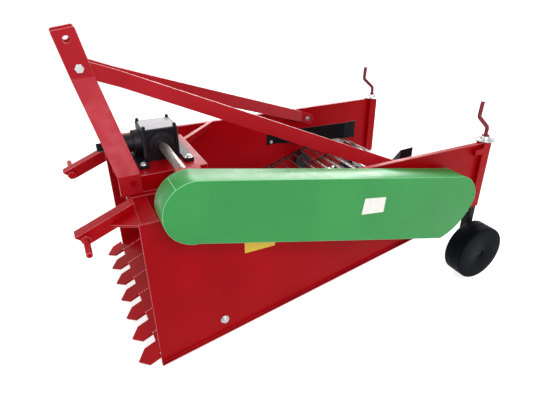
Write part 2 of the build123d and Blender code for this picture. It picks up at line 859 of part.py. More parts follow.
with BuildPart() as idler:
    with BuildSketch(side_plane(plate_inner)):
        with Locations((idler_x, idler_z)):
            Circle(idler_shaft_dia / 2)
    extrude(amount=2 * plate_inner)
    for spread in (-1, 0, 1):
        with BuildSketch(side_plane(spread * wheel_row_half + idler_width / 2)):
            with Locations((idler_x, idler_z)):
                Circle(idler_radius - rod_seat)
        extrude(amount=idler_width)
write(idler.part, "front_idler")

for side, s in sides:
    lift_near = wheel_row_half - lift_width / 2
    lift_far = wheel_row_half + lift_width / 2
    with BuildPart() as lift:
        # rim, hub with its stub: first y, last y, radius
        for y0, y1, radius in (
            (lift_near, lift_far, lift_radius - rod_seat),
            (lift_far, plate_inner, lift_stub_dia / 2),
        ):
            with BuildSketch(side_plane(y0, s)):
                with Locations((lift_x, lift_z)):
                    Circle(radius)
            extrude(amount=-s * (y1 - y0))
    write(lift.part, f"lift_wheel_{side}")

    with BuildPart() as bearing:
        with BuildSketch(side_plane(plate_outer, s)):
            with Locations((drive_x, drive_z)):
                RectangleRounded(bearing_plate, bearing_plate, 1.5 * bearing_plate_thick)
        extrude(amount=-s * bearing_plate_thick)
        with BuildSketch(side_plane(plate_outer, s)):
            with Locations((drive_x, drive_z)):
                Circle(bearing_boss_radius)
        extrude(amount=-s * bearing_depth)
        with BuildSketch(side_plane(plate_outer, s)):
            with Locations((drive_x, drive_z)):
                Circle(drive_shaft_dia / 2 + running_gap)
        extrude(amount=-s * bearing_depth, mode=Mode.SUBTRACT)
    write(bearing.part, f"drive_bearing_{side}")

# ---------------------------------------------------------------- rear tie tube
with BuildPart() as tie:
    with BuildSketch(side_plane(plate_inner)):
        with Locations((plate_rear_x + tie_ahead, tie_z)):
            Circle(tie_dia / 2)
            Circle(tie_dia / 2 - tie_wall, mode=Mode.SUBTRACT)
    extrude(amount=2 * plate_inner)
write(tie.part, "rear_tie_tube")

# ---------------------------------------------------------------- deflector sheets over the conveyor
sheet_front_x = drive_x + sheet_front_ahead
sheet_fold_x = drive_x + sheet_fold_ahead
sheet_end_x = drive_x - sheet_end_behind
# front end, fold and rear end of a sheet: x, lower edge, height
sheet_stations = (
    (sheet_front_x, drive_z + sheet_front_rise, sheet_front_height),
    (sheet_fold_x, drive_z + sheet_fold_rise, sheet_fold_height),
    (sheet_end_x, drive_z + sheet_end_rise, sheet_end_height),
)
# the sheet seen from above: x, y of its outer face
sheet_route = (
    (sheet_front_x, plate_inner),
    (sheet_front_x - sheet_flat, plate_inner),
    (sheet_fold_x, sheet_end_y),
    (sheet_end_x, sheet_end_y),
)
for side, s in sides:
    with BuildPart() as deflector:
        with BuildSketch():
            with BuildLine():
                outer_face = [(x, s * y) for x, y in sheet_route]
                inner_face = [(x, s * (y - sheet_thick)) for x, y in reversed(sheet_route)]
                Polyline(*outer_face, *inner_face, close=True)
            make_face()
        extrude(amount=plate_top_z)
        with BuildSketch(side_plane(0, s)):
            with BuildLine():
                lower = [(x, low) for x, low, _ in sheet_stations]
                upper = [(x, low + height) for x, low, height in reversed(sheet_stations)]
                Polyline(*lower, *upper, close=True)
            make_face()
        extrude(amount=-s * plate_outer, mode=Mode.INTERSECT)
    write(deflector.part, f"deflector_{side}")

# ---------------------------------------------------------------- screw jacks and depth wheels
sleeve_top_z = plate_top_z + sleeve_rise
sleeve_bottom_z = sleeve_top_z - sleeve_length
sleeve_bore = sleeve_size - 2 * sleeve_wall
sleeve_out = sleeve_middle + sleeve_size / 2
strap_x = plate_rear_x + strap_length / 2 - sleeve_corner
screw_top_z = sleeve_top_z + collar_height
crank_low_z = screw_top_z + crank_stem
crank_high_z = crank_low_z + crank_rise
leg_bore = leg_size - 2 * leg_wall
leg_top_z = sleeve_top_z - leg_top_drop
leg_bottom_z = wheel_radius - leg_foot_drop
leg_face = sleeve_middle + leg_size / 2
shoulder_y = leg_face + foot_plate_thick
wheel_x = sleeve_x + wheel_ahead
wheel_near = shoulder_y + axle_shoulder + side_play
wheel_far = wheel_near + wheel_width
axle_end = wheel_far - wheel_recess

for side, s in sides:
    y = s * sleeve_middle
    with BuildPart() as sleeve:
        with BuildSketch(Plane.XY.offset(sleeve_bottom_z)):
            with Locations((sleeve_x, y)):
                RectangleRounded(sleeve_size, sleeve_size, sleeve_corner)
        extrude(amount=sleeve_length)
        # straps that hold the tube to the outside of the side plate
        for z in (sleeve_bottom_z + 1.5 * strap_height, plate_top_z - 2 * strap_height):
            with BuildSketch(Plane.XY.offset(z)):
                with Locations((strap_x, s * (plate_outer + sleeve_out) / 2)):
                    Rectangle(strap_length + 2 * sleeve_corner, sleeve_out - plate_outer)
            extrude(amount=strap_height)
        with BuildSketch(Plane.XY.offset(sleeve_bottom_z)):
            with Locations((sleeve_x, y)):
                Rectangle(sleeve_bore, sleeve_bore)
        extrude(amount=sleeve_length, mode=Mode.SUBTRACT)
    write(sleeve.part, f"leg_sleeve_{side}")

    with BuildPart() as collar:
        with BuildSketch(Plane.XY.offset(sleeve_top_z)):
            with Locations((sleeve_x, y)):
                Circle(collar_radius)
        extrude(amount=collar_flange)
        with BuildSketch(Plane.XY.offset(sleeve_top_z + collar_flange)):
            with Locations((sleeve_x, y)):
                Circle(collar_boss_radius)
        with BuildSketch(Plane.XY.offset(sleeve_top_z + collar_height)):
            with Locations((sleeve_x, y)):
                Circle(collar_top_radius)
        loft()
        with BuildSketch(Plane.XY.offset(sleeve_top_z)):
            with Locations((sleeve_x, y)):
                Circle(screw_dia / 2 + running_gap)
        extrude(amount=collar_height, mode=Mode.SUBTRACT)
    write(collar.part, f"jack_collar_{side}")

    with BuildPart() as crank:
        # screw and the ring that rests on the collar: first z, last z, radius
        for z0, z1, radius in (
            (screw_top_z - screw_length, screw_top_z, screw_dia / 2),
            (screw_top_z, screw_top_z + sleeve_corner, collar_top_radius - sleeve_wall),
        ):
            with BuildSketch(Plane.XY.offset(z0)):
                with Locations((sleeve_x, y)):
                    Circle(radius)
            extrude(amount=z1 - z0)
        with BuildLine():
            FilletPolyline(
                (sleeve_x, y, screw_top_z),
                (sleeve_x, y, crank_low_z),
                (sleeve_x + crank_throw, y, crank_high_z),
                (sleeve_x + crank_throw - crank_lean, y, crank_high_z + crank_handle),
                radius=crank_bend_radius,
            )
        with BuildSketch(Plane((sleeve_x, y, screw_top_z))):
            Circle(crank_dia / 2)
        sweep()
    write(crank.part, f"jack_crank_{side}")

    with BuildPart() as leg:
        with BuildSketch(Plane.XY.offset(leg_bottom_z)):
            with Locations((sleeve_x, y)):
                RectangleRounded(leg_size, leg_size, sleeve_corner)
                Rectangle(leg_bore, leg_bore, mode=Mode.SUBTRACT)
        extrude(amount=leg_top_z - leg_bottom_z)
        # nut that runs on the screw
        with BuildSketch(Plane.XY.offset(leg_top_z - nut_height)):
            with Locations((sleeve_x, y)):
                Rectangle(leg_bore, leg_bore)
                Circle(screw_dia / 2 + running_gap, mode=Mode.SUBTRACT)
        extrude(amount=nut_height)
        # foot plate with the stub axle
        with BuildSketch(side_plane(leg_face, s)):
            with Locations(((sleeve_x + wheel_x) / 2, wheel_radius)):
                RectangleRounded(wheel_ahead + leg_size, foot_plate_height, sleeve_corner)
        extrude(amount=-s * foot_plate_thick)
        # shoulder, axle and end cap: first y, last y, radius
        for y0, y1, radius in (
            (shoulder_y, wheel_near - side_play, axle_shoulder_radius),
            (shoulder_y, axle_end, axle_dia / 2),
            (axle_end, axle_end + axle_cap_thick, axle_cap_radius),
        ):
            with BuildSketch(side_plane(y0, s)):
                with Locations((wheel_x, wheel_radius)):
                    Circle(radius)
            extrude(amount=-s * (y1 - y0))
    write(leg.part, f"depth_leg_{side}")

    with BuildPart() as wheel:
        with BuildSketch(side_plane(wheel_near, s)):
            with Locations((wheel_x, wheel_radius)):
                Circle(wheel_radius)
                Circle(axle_dia / 2 + running_gap, mode=Mode.SUBTRACT)
        extrude(amount=-s * wheel_width)
        chamfer(wheel.edges().filter_by(GeomType.CIRCLE).group_by(SortBy.RADIUS)[-1], wheel_chamfer)
        with BuildSketch(side_plane(axle_end - side_play, s)):
            with Locations((wheel_x, wheel_radius)):
                Circle(wheel_recess_radius)
        extrude(amount=-s * wheel_width, mode=Mode.SUBTRACT)
    write(wheel.part, f"depth_wheel_{side}")
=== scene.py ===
# %% [markdown]
# # A potato harvester for a small tractor
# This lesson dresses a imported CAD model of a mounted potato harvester: two red side plates with a
# toothed share between them, a conveyor of steel rods, a gearbox, a green chain guard and two
# small rubber depth wheels. The CAD gives the size and the place of every main part. What is
# added here is what a drawing leaves out: paint, cast iron, rubber, bolts, welds and labels.

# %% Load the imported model
import json
from math import asin, atan2, cos, hypot, pi, radians, sin

import bmesh
import bpy
from mathutils import Matrix, Vector


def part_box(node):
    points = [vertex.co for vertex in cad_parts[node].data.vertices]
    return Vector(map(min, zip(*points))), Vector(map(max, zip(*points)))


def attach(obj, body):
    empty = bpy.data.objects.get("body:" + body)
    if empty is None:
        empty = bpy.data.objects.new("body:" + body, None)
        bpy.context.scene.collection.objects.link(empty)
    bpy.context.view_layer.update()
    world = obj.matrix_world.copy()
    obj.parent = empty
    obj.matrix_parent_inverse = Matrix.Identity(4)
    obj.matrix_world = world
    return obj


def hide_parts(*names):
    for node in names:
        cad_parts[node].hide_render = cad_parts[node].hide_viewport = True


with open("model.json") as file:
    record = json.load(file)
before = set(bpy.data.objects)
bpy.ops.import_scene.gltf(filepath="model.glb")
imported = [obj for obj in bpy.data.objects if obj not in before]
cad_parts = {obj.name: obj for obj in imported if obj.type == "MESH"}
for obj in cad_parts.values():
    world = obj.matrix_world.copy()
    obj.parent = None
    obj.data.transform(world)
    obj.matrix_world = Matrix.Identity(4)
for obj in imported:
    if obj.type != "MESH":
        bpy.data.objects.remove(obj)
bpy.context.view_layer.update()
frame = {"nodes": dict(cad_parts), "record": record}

nodes = frame["nodes"]

# %% [markdown]
# ## Where the main parts are
# An added piece is placed from the boxes of the CAD nodes that it sits on. The values below
# are in metres, with X forward, Y to the left and Z up, and the ground at Z = 0.

# %% Places read from the CAD nodes
MM = 0.001

plate_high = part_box("side_plate_left")[1]
beam_low, beam_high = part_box("front_beam")
bearing_low, bearing_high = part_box("drive_bearing_left")
lift_low, lift_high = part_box("lift_wheel_left")
idler_low, idler_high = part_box("front_idler")
case_low, case_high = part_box("chain_case_cover")
cover_low, cover_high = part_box("gearbox_cover")
gearbox_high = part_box("gearbox_case")[1]
bridge_low, bridge_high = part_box("gearbox_bridge")
web_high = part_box("conveyor_web")[1]
share_low, share_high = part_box("share_blade")
tyre_low, tyre_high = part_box("depth_wheel_left")
mast_low, mast_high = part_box("mast_bar_left")
input_low, input_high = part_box("input_shaft")

plate_in = beam_high.y
plate_out = bearing_low.y
guard_face = case_high.y
drive_centre = (bearing_low + bearing_high) / 2
lift_centre = (lift_low + lift_high) / 2
idler_centre = (idler_low + idler_high) / 2
shaft_height = (input_low.z + input_high.z) / 2
wheel_centre = (tyre_low + tyre_high) / 2
print("side plates from", round(plate_in, 3), "to", round(plate_out, 3))

# %% [markdown]
# ## Colour and nodes
# Paint charts give colours as sRGB, but shaders work in linear light. One function turns the
# hex value into what a shader needs, so that a colour renders as it is written. A second one
# adds a node with its settings and its links, in a shader tree or in a geometry tree. Two more
# start a material and end it, because every finish here ends in a colour, a gloss and a bump.

# %% Helpers for every tree
# a Mix node's two colours and its result go by place, since other sockets share their names
COLOUR_A, COLOUR_B, MIXED = 6, 7, 2


def colour(code):
    """Turn an sRGB hex code into a linear colour with full opacity."""
    channels = [int(code[i:i + 2], 16) / 255 for i in (1, 3, 5)]
    linear = [c / 12.92 if c <= 0.04045 else ((c + 0.055) / 1.055) ** 2.4 for c in channels]
    return (*linear, 1.0)


def add(tree, kind, inputs=None, **settings):
    """Add a node, set its settings, and fill its inputs with values or links."""
    node = tree.nodes.new(kind)
    for name, value in settings.items():
        setattr(node, name, value)
    for name, value in (inputs or {}).items():
        if isinstance(value, bpy.types.NodeSocket):
            tree.links.new(value, node.inputs[name])
        else:
            node.inputs[name].default_value = value
    return node


def new_material(name):
    """Make an empty node material; return it, its tree, its shader and Object coordinates."""
    material = bpy.data.materials.new(name)
    material.use_nodes = True
    tree = material.node_tree
    tree.nodes.clear()
    shader = add(tree, "ShaderNodeBsdfPrincipled")
    add(tree, "ShaderNodeOutputMaterial", {"Surface": shader.outputs["BSDF"]})
    place = add(tree, "ShaderNodeTexCoord").outputs["Object"]
    return material, tree, shader, place


def dress(tree, shader, tone, height, strength, depth, gloss=None):
    """Link a shader's colour, a bump of a real depth, and its roughness where that varies."""
    tree.links.new(tone, shader.inputs["Base Color"])
    bump = add(tree, "ShaderNodeBump", {"Height": height, "Strength": strength, "Distance": depth})
    tree.links.new(bump.outputs["Normal"], shader.inputs["Normal"])
    if gloss:
        tree.links.new(gloss, shader.inputs["Roughness"])


# %% [markdown]
# ## Sprayed enamel on sheet steel
# The red, green and black parts are steel sheet and tube with one thick coat of sprayed enamel.
# Close up, such paint has a soft ripple called orange peel, and its colour is a little deeper
# where the coat is thick. The ripple is about 3 mm on the real paint. It is drawn at 9 mm, so
# that it still breaks up the reflections from a few metres away. Field dust gathers low down,
# and small rubbed marks show where the part was lifted or stacked. The paler edge colours are
# a painted highlight: they stand for the thin line of light that a sharp edge catches.
# The mast and its braces are flat bars, and they take a glossier coat than the large sheets.
# Their red is also set lighter than the sheets' red: painted light, for the brighter light on them.

# %% One recipe for the sprayed parts
CLOUD = 220 * MM       # thick and thin places of the coat
PEEL = 9 * MM          # orange peel
SCUFF = 60 * MM        # length of a rubbed mark
DUST_FILM = 45 * MM    # patches of the dust
DUST_TOP = 0.45        # height that the dust reaches


def sprayed_enamel(name, thin, thick, dust, roughness, sheen, dust_share=0.0, tint="#FFFFFF"):
    """Enamel whose colour drifts between two hex codes, with ripple, dust and rubbed marks."""
    material, tree, shader, place = new_material(name)
    cloud = add(tree, "ShaderNodeTexNoise", {"Vector": place, "Scale": 1 / CLOUD, "Detail": 4.0})
    drift = add(tree, "ShaderNodeMapRange", {
        "Value": cloud.outputs["Fac"], "From Min": 0.35, "From Max": 0.65})
    coat = add(tree, "ShaderNodeMix", {
        "Factor": drift.outputs["Result"], COLOUR_A: colour(thin), COLOUR_B: colour(thick)},
        data_type="RGBA")
    # long thin marks: noise that is squeezed along two axes
    squeezed = add(tree, "ShaderNodeMapping", {"Vector": place, "Scale": (1.0, 6.0, 9.0)})
    marks = add(tree, "ShaderNodeTexNoise", {
        "Vector": squeezed.outputs["Vector"], "Scale": 1 / SCUFF, "Detail": 6.0, "Roughness": 0.65})
    rubbed = add(tree, "ShaderNodeMapRange", {
        "Value": marks.outputs["Fac"], "From Min": 0.72, "From Max": 0.80, "To Max": 0.12})
    scuffed = add(tree, "ShaderNodeMix", {
        "Factor": rubbed.outputs["Result"], COLOUR_A: coat.outputs[MIXED], COLOUR_B: colour(dust)},
        data_type="RGBA")
    # dust: more of it near the ground
    height = add(tree, "ShaderNodeSeparateXYZ", {"Vector": place})
    low_down = add(tree, "ShaderNodeMapRange", {
        "Value": height.outputs["Z"], "From Min": DUST_TOP, "From Max": 0.0, "To Max": dust_share})
    film = add(tree, "ShaderNodeTexNoise", {"Vector": place, "Scale": 1 / DUST_FILM, "Detail": 8.0})
    dusty = add(tree, "ShaderNodeMath", {
        0: low_down.outputs["Result"], 1: film.outputs["Fac"]}, operation="MULTIPLY")
    finish = add(tree, "ShaderNodeMix", {
        "Factor": dusty.outputs["Value"], COLOUR_A: scuffed.outputs[MIXED], COLOUR_B: colour(dust)},
        data_type="RGBA")
    peel = add(tree, "ShaderNodeTexNoise", {"Vector": place, "Scale": 1 / PEEL, "Detail": 2.0})
    gloss = add(tree, "ShaderNodeMapRange", {
        "Value": film.outputs["Fac"], "From Min": 0.3, "From Max": 0.7,
        "To Min": roughness - 0.05, "To Max": roughness + 0.1})
    dress(tree, shader, finish.outputs[MIXED], peel.outputs["Fac"], 0.12, 1.5 * MM,
          gloss.outputs["Result"])
    shader.inputs["IOR"].default_value = 1.5
    shader.inputs["Specular IOR Level"].default_value = sheen
    shader.inputs["Specular Tint"].default_value = colour(tint)
    return material


red_enamel = sprayed_enamel(
    "Sprayed red enamel", "#A2030E", "#96000A", "#984A40", roughness=0.34, sheen=0.15,
    dust_share=0.02, tint="#FFBCC0")
# lighter red for the mast and braces: painted light for the brighter light that falls on them
lit_glossy_enamel = sprayed_enamel(
    "Glossy red enamel painted lighter", "#AE1822", "#A4121C", "#984A40", roughness=0.34, sheen=0.3,
    dust_share=0.02, tint="#FFBCCC")
faded_enamel = sprayed_enamel(
    "Faded red enamel", "#7C2833", "#6A1E28", "#A07068", roughness=0.5, sheen=0.2)
green_enamel = sprayed_enamel(
    "Sprayed green enamel", "#2A9042", "#26873E", "#9DBF95", roughness=0.32, sheen=0.4)
black_enamel = sprayed_enamel(
    "Sprayed black enamel", "#0D0E12", "#08090C", "#3A3835", roughness=0.38, sheen=0.12,
    dust_share=0.05)
# paler enamels for the edges: a painted highlight, the line of light that a sharp edge catches
red_edge_highlight = sprayed_enamel(
    "Red enamel of the painted edge highlight", "#C8505A", "#B23A45", "#D08088", roughness=0.3, sheen=0.5)
# pale red: worn paint on the blade seams and a painted highlight there and on the hitch arms' edges
worn_red_and_highlight = sprayed_enamel(
    "Worn red enamel and painted highlight", "#E88C94", "#D86A75", "#E0A0A0", roughness=0.3, sheen=0.5)
green_edge_highlight = sprayed_enamel(
    "Green enamel of the painted edge highlight", "#86D69A", "#5CBF78", "#CFE8CF", roughness=0.3, sheen=0.5)
print("enamels:", red_enamel.name, green_enamel.name, black_enamel.name)

# %% [markdown]
# ## Cast iron under black paint
# The gearbox and the bearing plates are sand castings. Paint softens the sand texture but does
# not hide it: the surface keeps a pebbled skin with grains of 1 to 2 mm, drawn here at 5 mm.
# A fine pattern of pebbles and a coarse noise give the skin its uneven light.

# %% Black casting and grey cover
SAND_GRAIN = 5 * MM
SKIN = 30 * MM         # coarse patches of the skin


def painted_casting(name, light, dark):
    """Painted sand casting with a pebbled skin."""
    material, tree, shader, place = new_material(name)
    pebbles = add(tree, "ShaderNodeTexVoronoi", {
        "Vector": place, "Scale": 1 / SAND_GRAIN}, feature="SMOOTH_F1")
    skin = add(tree, "ShaderNodeTexNoise", {"Vector": place, "Scale": 1 / SKIN, "Detail": 6.0})
    tone = add(tree, "ShaderNodeMix", {
        "Factor": skin.outputs["Fac"], COLOUR_A: colour(dark), COLOUR_B: colour(light)},
        data_type="RGBA")
    gloss = add(tree, "ShaderNodeMapRange", {
        "Value": skin.outputs["Fac"], "To Min": 0.3, "To Max": 0.55})
    dress(tree, shader, tone.outputs[MIXED], pebbles.outputs["Distance"], 0.25, 1.0 * MM,
          gloss.outputs["Result"])
    shader.inputs["Specular IOR Level"].default_value = 0.3
    return material


black_iron = painted_casting("Black painted cast iron", "#0E0D16", "#07060B")
grey_iron = painted_casting("Grey painted cast iron", "#C9CACF", "#A9AAB0")
print("castings:", black_iron.name, "and", grey_iron.name)

# %% [markdown]
# ## Bare, plated and rusty metal
# Three metals are left unpainted. Bolts and collars are zinc plated, pale and slightly
# blotchy. Shafts and conveyor rods are bright drawn steel with fine lines along their length.
# The chain at the conveyor's edge is hot-formed steel, dark with mill scale and a little rust.

# %% Metals
BLOTCH = 25 * MM       # blotches of the plating, the rust or the scale


def worn_metal(name, bright, dull, spot, spot_share, roughness, grain):
    """Metal with streaks along Y, blotches of a duller tone and spots of rust or scale."""
    material, tree, shader, place = new_material(name)
    drawn = add(tree, "ShaderNodeMapping", {"Vector": place, "Scale": (1.0, 0.08, 1.0)})
    streak = add(tree, "ShaderNodeTexNoise", {
        "Vector": drawn.outputs["Vector"], "Scale": 1 / grain, "Detail": 3.0})
    blotch = add(tree, "ShaderNodeTexNoise", {"Vector": place, "Scale": 1 / BLOTCH, "Detail": 5.0})
    tone = add(tree, "ShaderNodeMix", {
        "Factor": blotch.outputs["Fac"], COLOUR_A: colour(bright), COLOUR_B: colour(dull)},
        data_type="RGBA")
    spots = add(tree, "ShaderNodeMapRange", {
        "Value": blotch.outputs["Fac"], "From Min": 0.5, "From Max": 0.7, "To Max": spot_share})
    spotted = add(tree, "ShaderNodeMix", {
        "Factor": spots.outputs["Result"], COLOUR_A: tone.outputs[MIXED], COLOUR_B: colour(spot)},
        data_type="RGBA")
    gloss = add(tree, "ShaderNodeMapRange", {
        "Value": streak.outputs["Fac"], "To Min": roughness - 0.1, "To Max": roughness + 0.12})
    dress(tree, shader, spotted.outputs[MIXED], streak.outputs["Fac"], 0.1, 0.5 * MM,
          gloss.outputs["Result"])
    shader.inputs["Metallic"].default_value = 1.0
    return material


zinc = worn_metal(
    "Zinc plated steel", "#D9DADC", "#B4B4B0", "#8C8878",
    spot_share=0.25, roughness=0.32, grain=4 * MM)
drawn_steel = worn_metal(
    "Drawn bright steel", "#B9B6B2", "#8B8783", "#6B4B3A",
    spot_share=0.35, roughness=0.34, grain=3 * MM)
dark_steel = worn_metal(
    "Hot formed dark steel", "#4A4644", "#2B2827", "#5A3A2A",
    spot_share=0.6, roughness=0.5, grain=4 * MM)
print("metals:", zinc.name, drawn_steel.name, dark_steel.name)

# %% [markdown]
# ## Rubber and label film
# The depth wheels are solid moulded rubber: nearly black, dull, with a fine grain and a trace
# of dust held in it. The labels are vinyl film. They are left blank, white on the guard and
# yellow on the side plate, with the slight sheen and unevenness of film on painted steel.

# %% Rubber, films and their tones
RUBBER_GRAIN = 4 * MM
RUBBER_DUST = 50 * MM  # patches of the dust
FILM_WAVE = 20 * MM


def moulded_rubber():
    """Dull black rubber with a fine moulded grain and a trace of dust."""
    material, tree, shader, place = new_material("Moulded black rubber")
    grain = add(tree, "ShaderNodeTexNoise", {
        "Vector": place, "Scale": 1 / RUBBER_GRAIN, "Detail": 6.0})
    dust = add(tree, "ShaderNodeTexNoise", {
        "Vector": place, "Scale": 1 / RUBBER_DUST, "Detail": 6.0})
    share = add(tree, "ShaderNodeMapRange", {
        "Value": dust.outputs["Fac"], "From Min": 0.5, "From Max": 0.8, "To Max": 0.35})
    tone = add(tree, "ShaderNodeMix", {
        "Factor": share.outputs["Result"],
        COLOUR_A: colour("#05080E"), COLOUR_B: colour("#0F141C")}, data_type="RGBA")
    gloss = add(tree, "ShaderNodeMapRange", {
        "Value": dust.outputs["Fac"], "To Min": 0.42, "To Max": 0.72})
    dress(tree, shader, tone.outputs[MIXED], grain.outputs["Fac"], 0.25, 0.6 * MM,
          gloss.outputs["Result"])
    shader.inputs["Specular IOR Level"].default_value = 0.06
    return material


def vinyl_film(name, bright, dull):
    """Smooth film with faint waves where it lies on the paint."""
    material, tree, shader, place = new_material(name)
    waves = add(tree, "ShaderNodeTexNoise", {
        "Vector": place, "Scale": 1 / FILM_WAVE, "Detail": 3.0})
    tone = add(tree, "ShaderNodeMix", {
        "Factor": waves.outputs["Fac"], COLOUR_A: colour(bright), COLOUR_B: colour(dull)},
        data_type="RGBA")
    dress(tree, shader, tone.outputs[MIXED], waves.outputs["Fac"], 0.15, 0.5 * MM)
    shader.inputs["Roughness"].default_value = 0.35
    return material


rubber = moulded_rubber()
white_film = vinyl_film("White vinyl film", "#F0F0EA", "#DADAD2")
yellow_film = vinyl_film("Yellow vinyl film", "#E6C23A", "#CFA824")
print("rubber and films:", rubber.name, white_film.name, yellow_film.name)

# %% [markdown]
# ## A finish for every CAD node
# The record names a slot for each node. Most nodes keep their CAD shape and only get the
# matching material. A second material holds the paler colour of the edges, a painted highlight
# for the line of light that an edge catches. The bevel that softens the edges near the end of
# this lesson gives that one to its faces, by its index.

# %% Give the nodes their materials
FINISH = {
    "red_paint": red_enamel,
    "green_paint": green_enamel,
    "black_casting": black_iron,
    "grey_cover": grey_iron,
    "black_paint": black_enamel,
    "bare_steel": drawn_steel,
    "zinc": zinc,
    "rubber": rubber,
}
EDGE_HIGHLIGHT_FINISH = {"red_paint": red_edge_highlight, "green_paint": green_edge_highlight}
# nodes that differ from the rest of their slot: start of the name, finish, finish of the edges (a
# painted highlight)
OWN_FINISH = (
    ("jack_crank", faded_enamel, None),
    ("gearbox_cover", black_iron, None),
    ("share_blade", red_enamel, None),
    ("mast_bar", lit_glossy_enamel, red_edge_highlight),
    ("mast_brace", lit_glossy_enamel, red_edge_highlight),
    # the hitch arms' edges take the pale worn red, which is a painted highlight on them
    ("hitch_arm", red_enamel, worn_red_and_highlight),
)
slot_of = {part["node"]: part["material_slot"] for part in frame["record"]["subparts"]}


def finishes(name):
    """Materials of a node: the one of its faces and, where it has one, the painted highlight of its
    edges.
    """
    for start, faces, edges in OWN_FINISH:
        if name.startswith(start):
            return faces, edges
    return FINISH[slot_of[name]], EDGE_HIGHLIGHT_FINISH.get(slot_of[name])


for name, node in nodes.items():
    node.data.materials.clear()
    for material in filter(None, finishes(name)):
        node.data.materials.append(material)
print("finished nodes:", len(nodes))

# %% [markdown]
# ## Geometry trees
# Bolts, weld beads and the conveyor repeat one small shape many times. A geometry tree makes
# the shape once and sets copies on points. The tree's sizes are named inputs, so the same tree
# serves every place. At the end the copies become one plain mesh, which any other program can
# read.

# %% Build a tree's frame and bake its result
def new_tree(name, sizes):
    """Make a geometry tree with named size inputs; sizes maps a name to its default value."""
    tree = bpy.data.node_groups.new(name, "GeometryNodeTree")
    tree.interface.new_socket(name="Geometry", in_out="INPUT", socket_type="NodeSocketGeometry")
    for label, value in sizes.items():
        kind = "NodeSocketInt" if isinstance(value, int) else "NodeSocketFloat"
        socket = tree.interface.new_socket(name=label, in_out="INPUT", socket_type=kind)
        socket.default_value = value
    tree.interface.new_socket(name="Geometry", in_out="OUTPUT", socket_type="NodeSocketGeometry")
    return tree, add(tree, "NodeGroupInput").outputs


def end_tree(tree, groups):
    """Close a tree: each group of copies is made real and gets its material, and all are joined."""
    joined = add(tree, "GeometryNodeJoinGeometry")
    for copies, material in groups:
        plain = add(tree, "GeometryNodeRealizeInstances", {"Geometry": copies})
        painted = add(tree, "GeometryNodeSetMaterial", {
            "Geometry": plain.outputs["Geometry"], "Material": material})
        tree.links.new(painted.outputs["Geometry"], joined.inputs["Geometry"])
    add(tree, "NodeGroupOutput", {"Geometry": joined.outputs["Geometry"]})


def in_scene(name, data):
    """Put a mesh, a lamp or a camera in the scene, at the origin."""
    item = bpy.data.objects.new(name, data)
    bpy.context.scene.collection.objects.link(item)
    return item


def bake(name, source, tree, sizes, body):
    """Run a tree on a mesh, keep the result as a plain mesh, and let it ride on a body."""
    helper = in_scene(name + " helper", source)
    modifier = helper.modifiers.new(tree.name, "NODES")
    modifier.node_group = tree
    for item in tree.interface.items_tree:
        if item.in_out == "INPUT" and item.name in sizes:
            modifier[item.identifier] = sizes[item.name]
    depsgraph = bpy.context.evaluated_depsgraph_get()
    mesh = bpy.data.meshes.new_from_object(helper.evaluated_get(depsgraph))
    bpy.data.objects.remove(helper)
    return place_piece(name, mesh, body)


def place_piece(name, mesh, body):
    """Put a finished mesh in the scene, riding on a body."""
    piece = in_scene(name, mesh)
    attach(piece, body)
    print(name, len(mesh.polygons), "faces")
    return piece


# %% [markdown]
# ## The rod conveyor
# The conveyor is a web of steel rods, 50 mm apart, whose ends hook into each other along both
# edges. It runs round three sets of wheels, so its path is three straight runs and three arcs.
# The path is worked out from the wheels' centres and radii, as the machine's maker would do,
# and a geometry tree spaces the rods evenly along it. Modelling each rod by hand would take
# longer and would not keep the spacing. A link is a short bar with a knuckle round each rod,
# and the links lie in turn on the inside and the outside, as in a real chain.

# %% The path of the web
ROD = 10 * MM
PITCH = 50 * MM
TEETH = 7              # of the drive shaft's wheels
LINK = 7 * MM          # thickness of a link
ARC_STEP = radians(4)

rod_seat = ROD / 2 + 0.1 * MM
wheels = (
    (idler_centre.x, idler_centre.z, (idler_high.z - idler_low.z) / 2 + rod_seat),
    (lift_centre.x, lift_centre.z, (lift_high.z - lift_low.z) / 2 + rod_seat),
    (drive_centre.x, drive_centre.z, TEETH * PITCH / (2 * pi)),
)


def web_path():
    """Points along the middle line of the rods, with the arcs in steps of about 4 degrees."""
    runs = []
    for (x0, z0, r0), (x1, z1, r1) in zip(wheels, wheels[1:] + wheels[:1]):
        reach = hypot(x1 - x0, z1 - z0)
        runs.append(atan2(z1 - z0, x1 - x0) - pi / 2 + asin((r0 - r1) / reach))
    points = []
    for i, normal in enumerate(runs):
        x, z, r = wheels[i]
        points.append((x + r * cos(normal), z + r * sin(normal)))
        x, z, r = wheels[(i + 1) % len(wheels)]
        turn = (runs[(i + 1) % len(runs)] - normal) % (2 * pi)
        steps = max(2, int(turn / ARC_STEP))
        for k in range(steps):
            angle = normal + turn * k / steps
            points.append((x + r * cos(angle), z + r * sin(angle)))
    return points


path = web_path()
path_length = sum(hypot(b[0] - a[0], b[1] - a[1]) for a, b in zip(path, path[1:] + path[:1]))
rod_count = 2 * round(path_length / PITCH / 2)
loop_mesh = bpy.data.meshes.new("Web path")
loop_mesh.from_pydata(
    [(x, 0, z) for x, z in path], [(i, (i + 1) % len(path)) for i in range(len(path))], [])
print("web path", round(path_length, 3), "m,", rod_count, "rods")

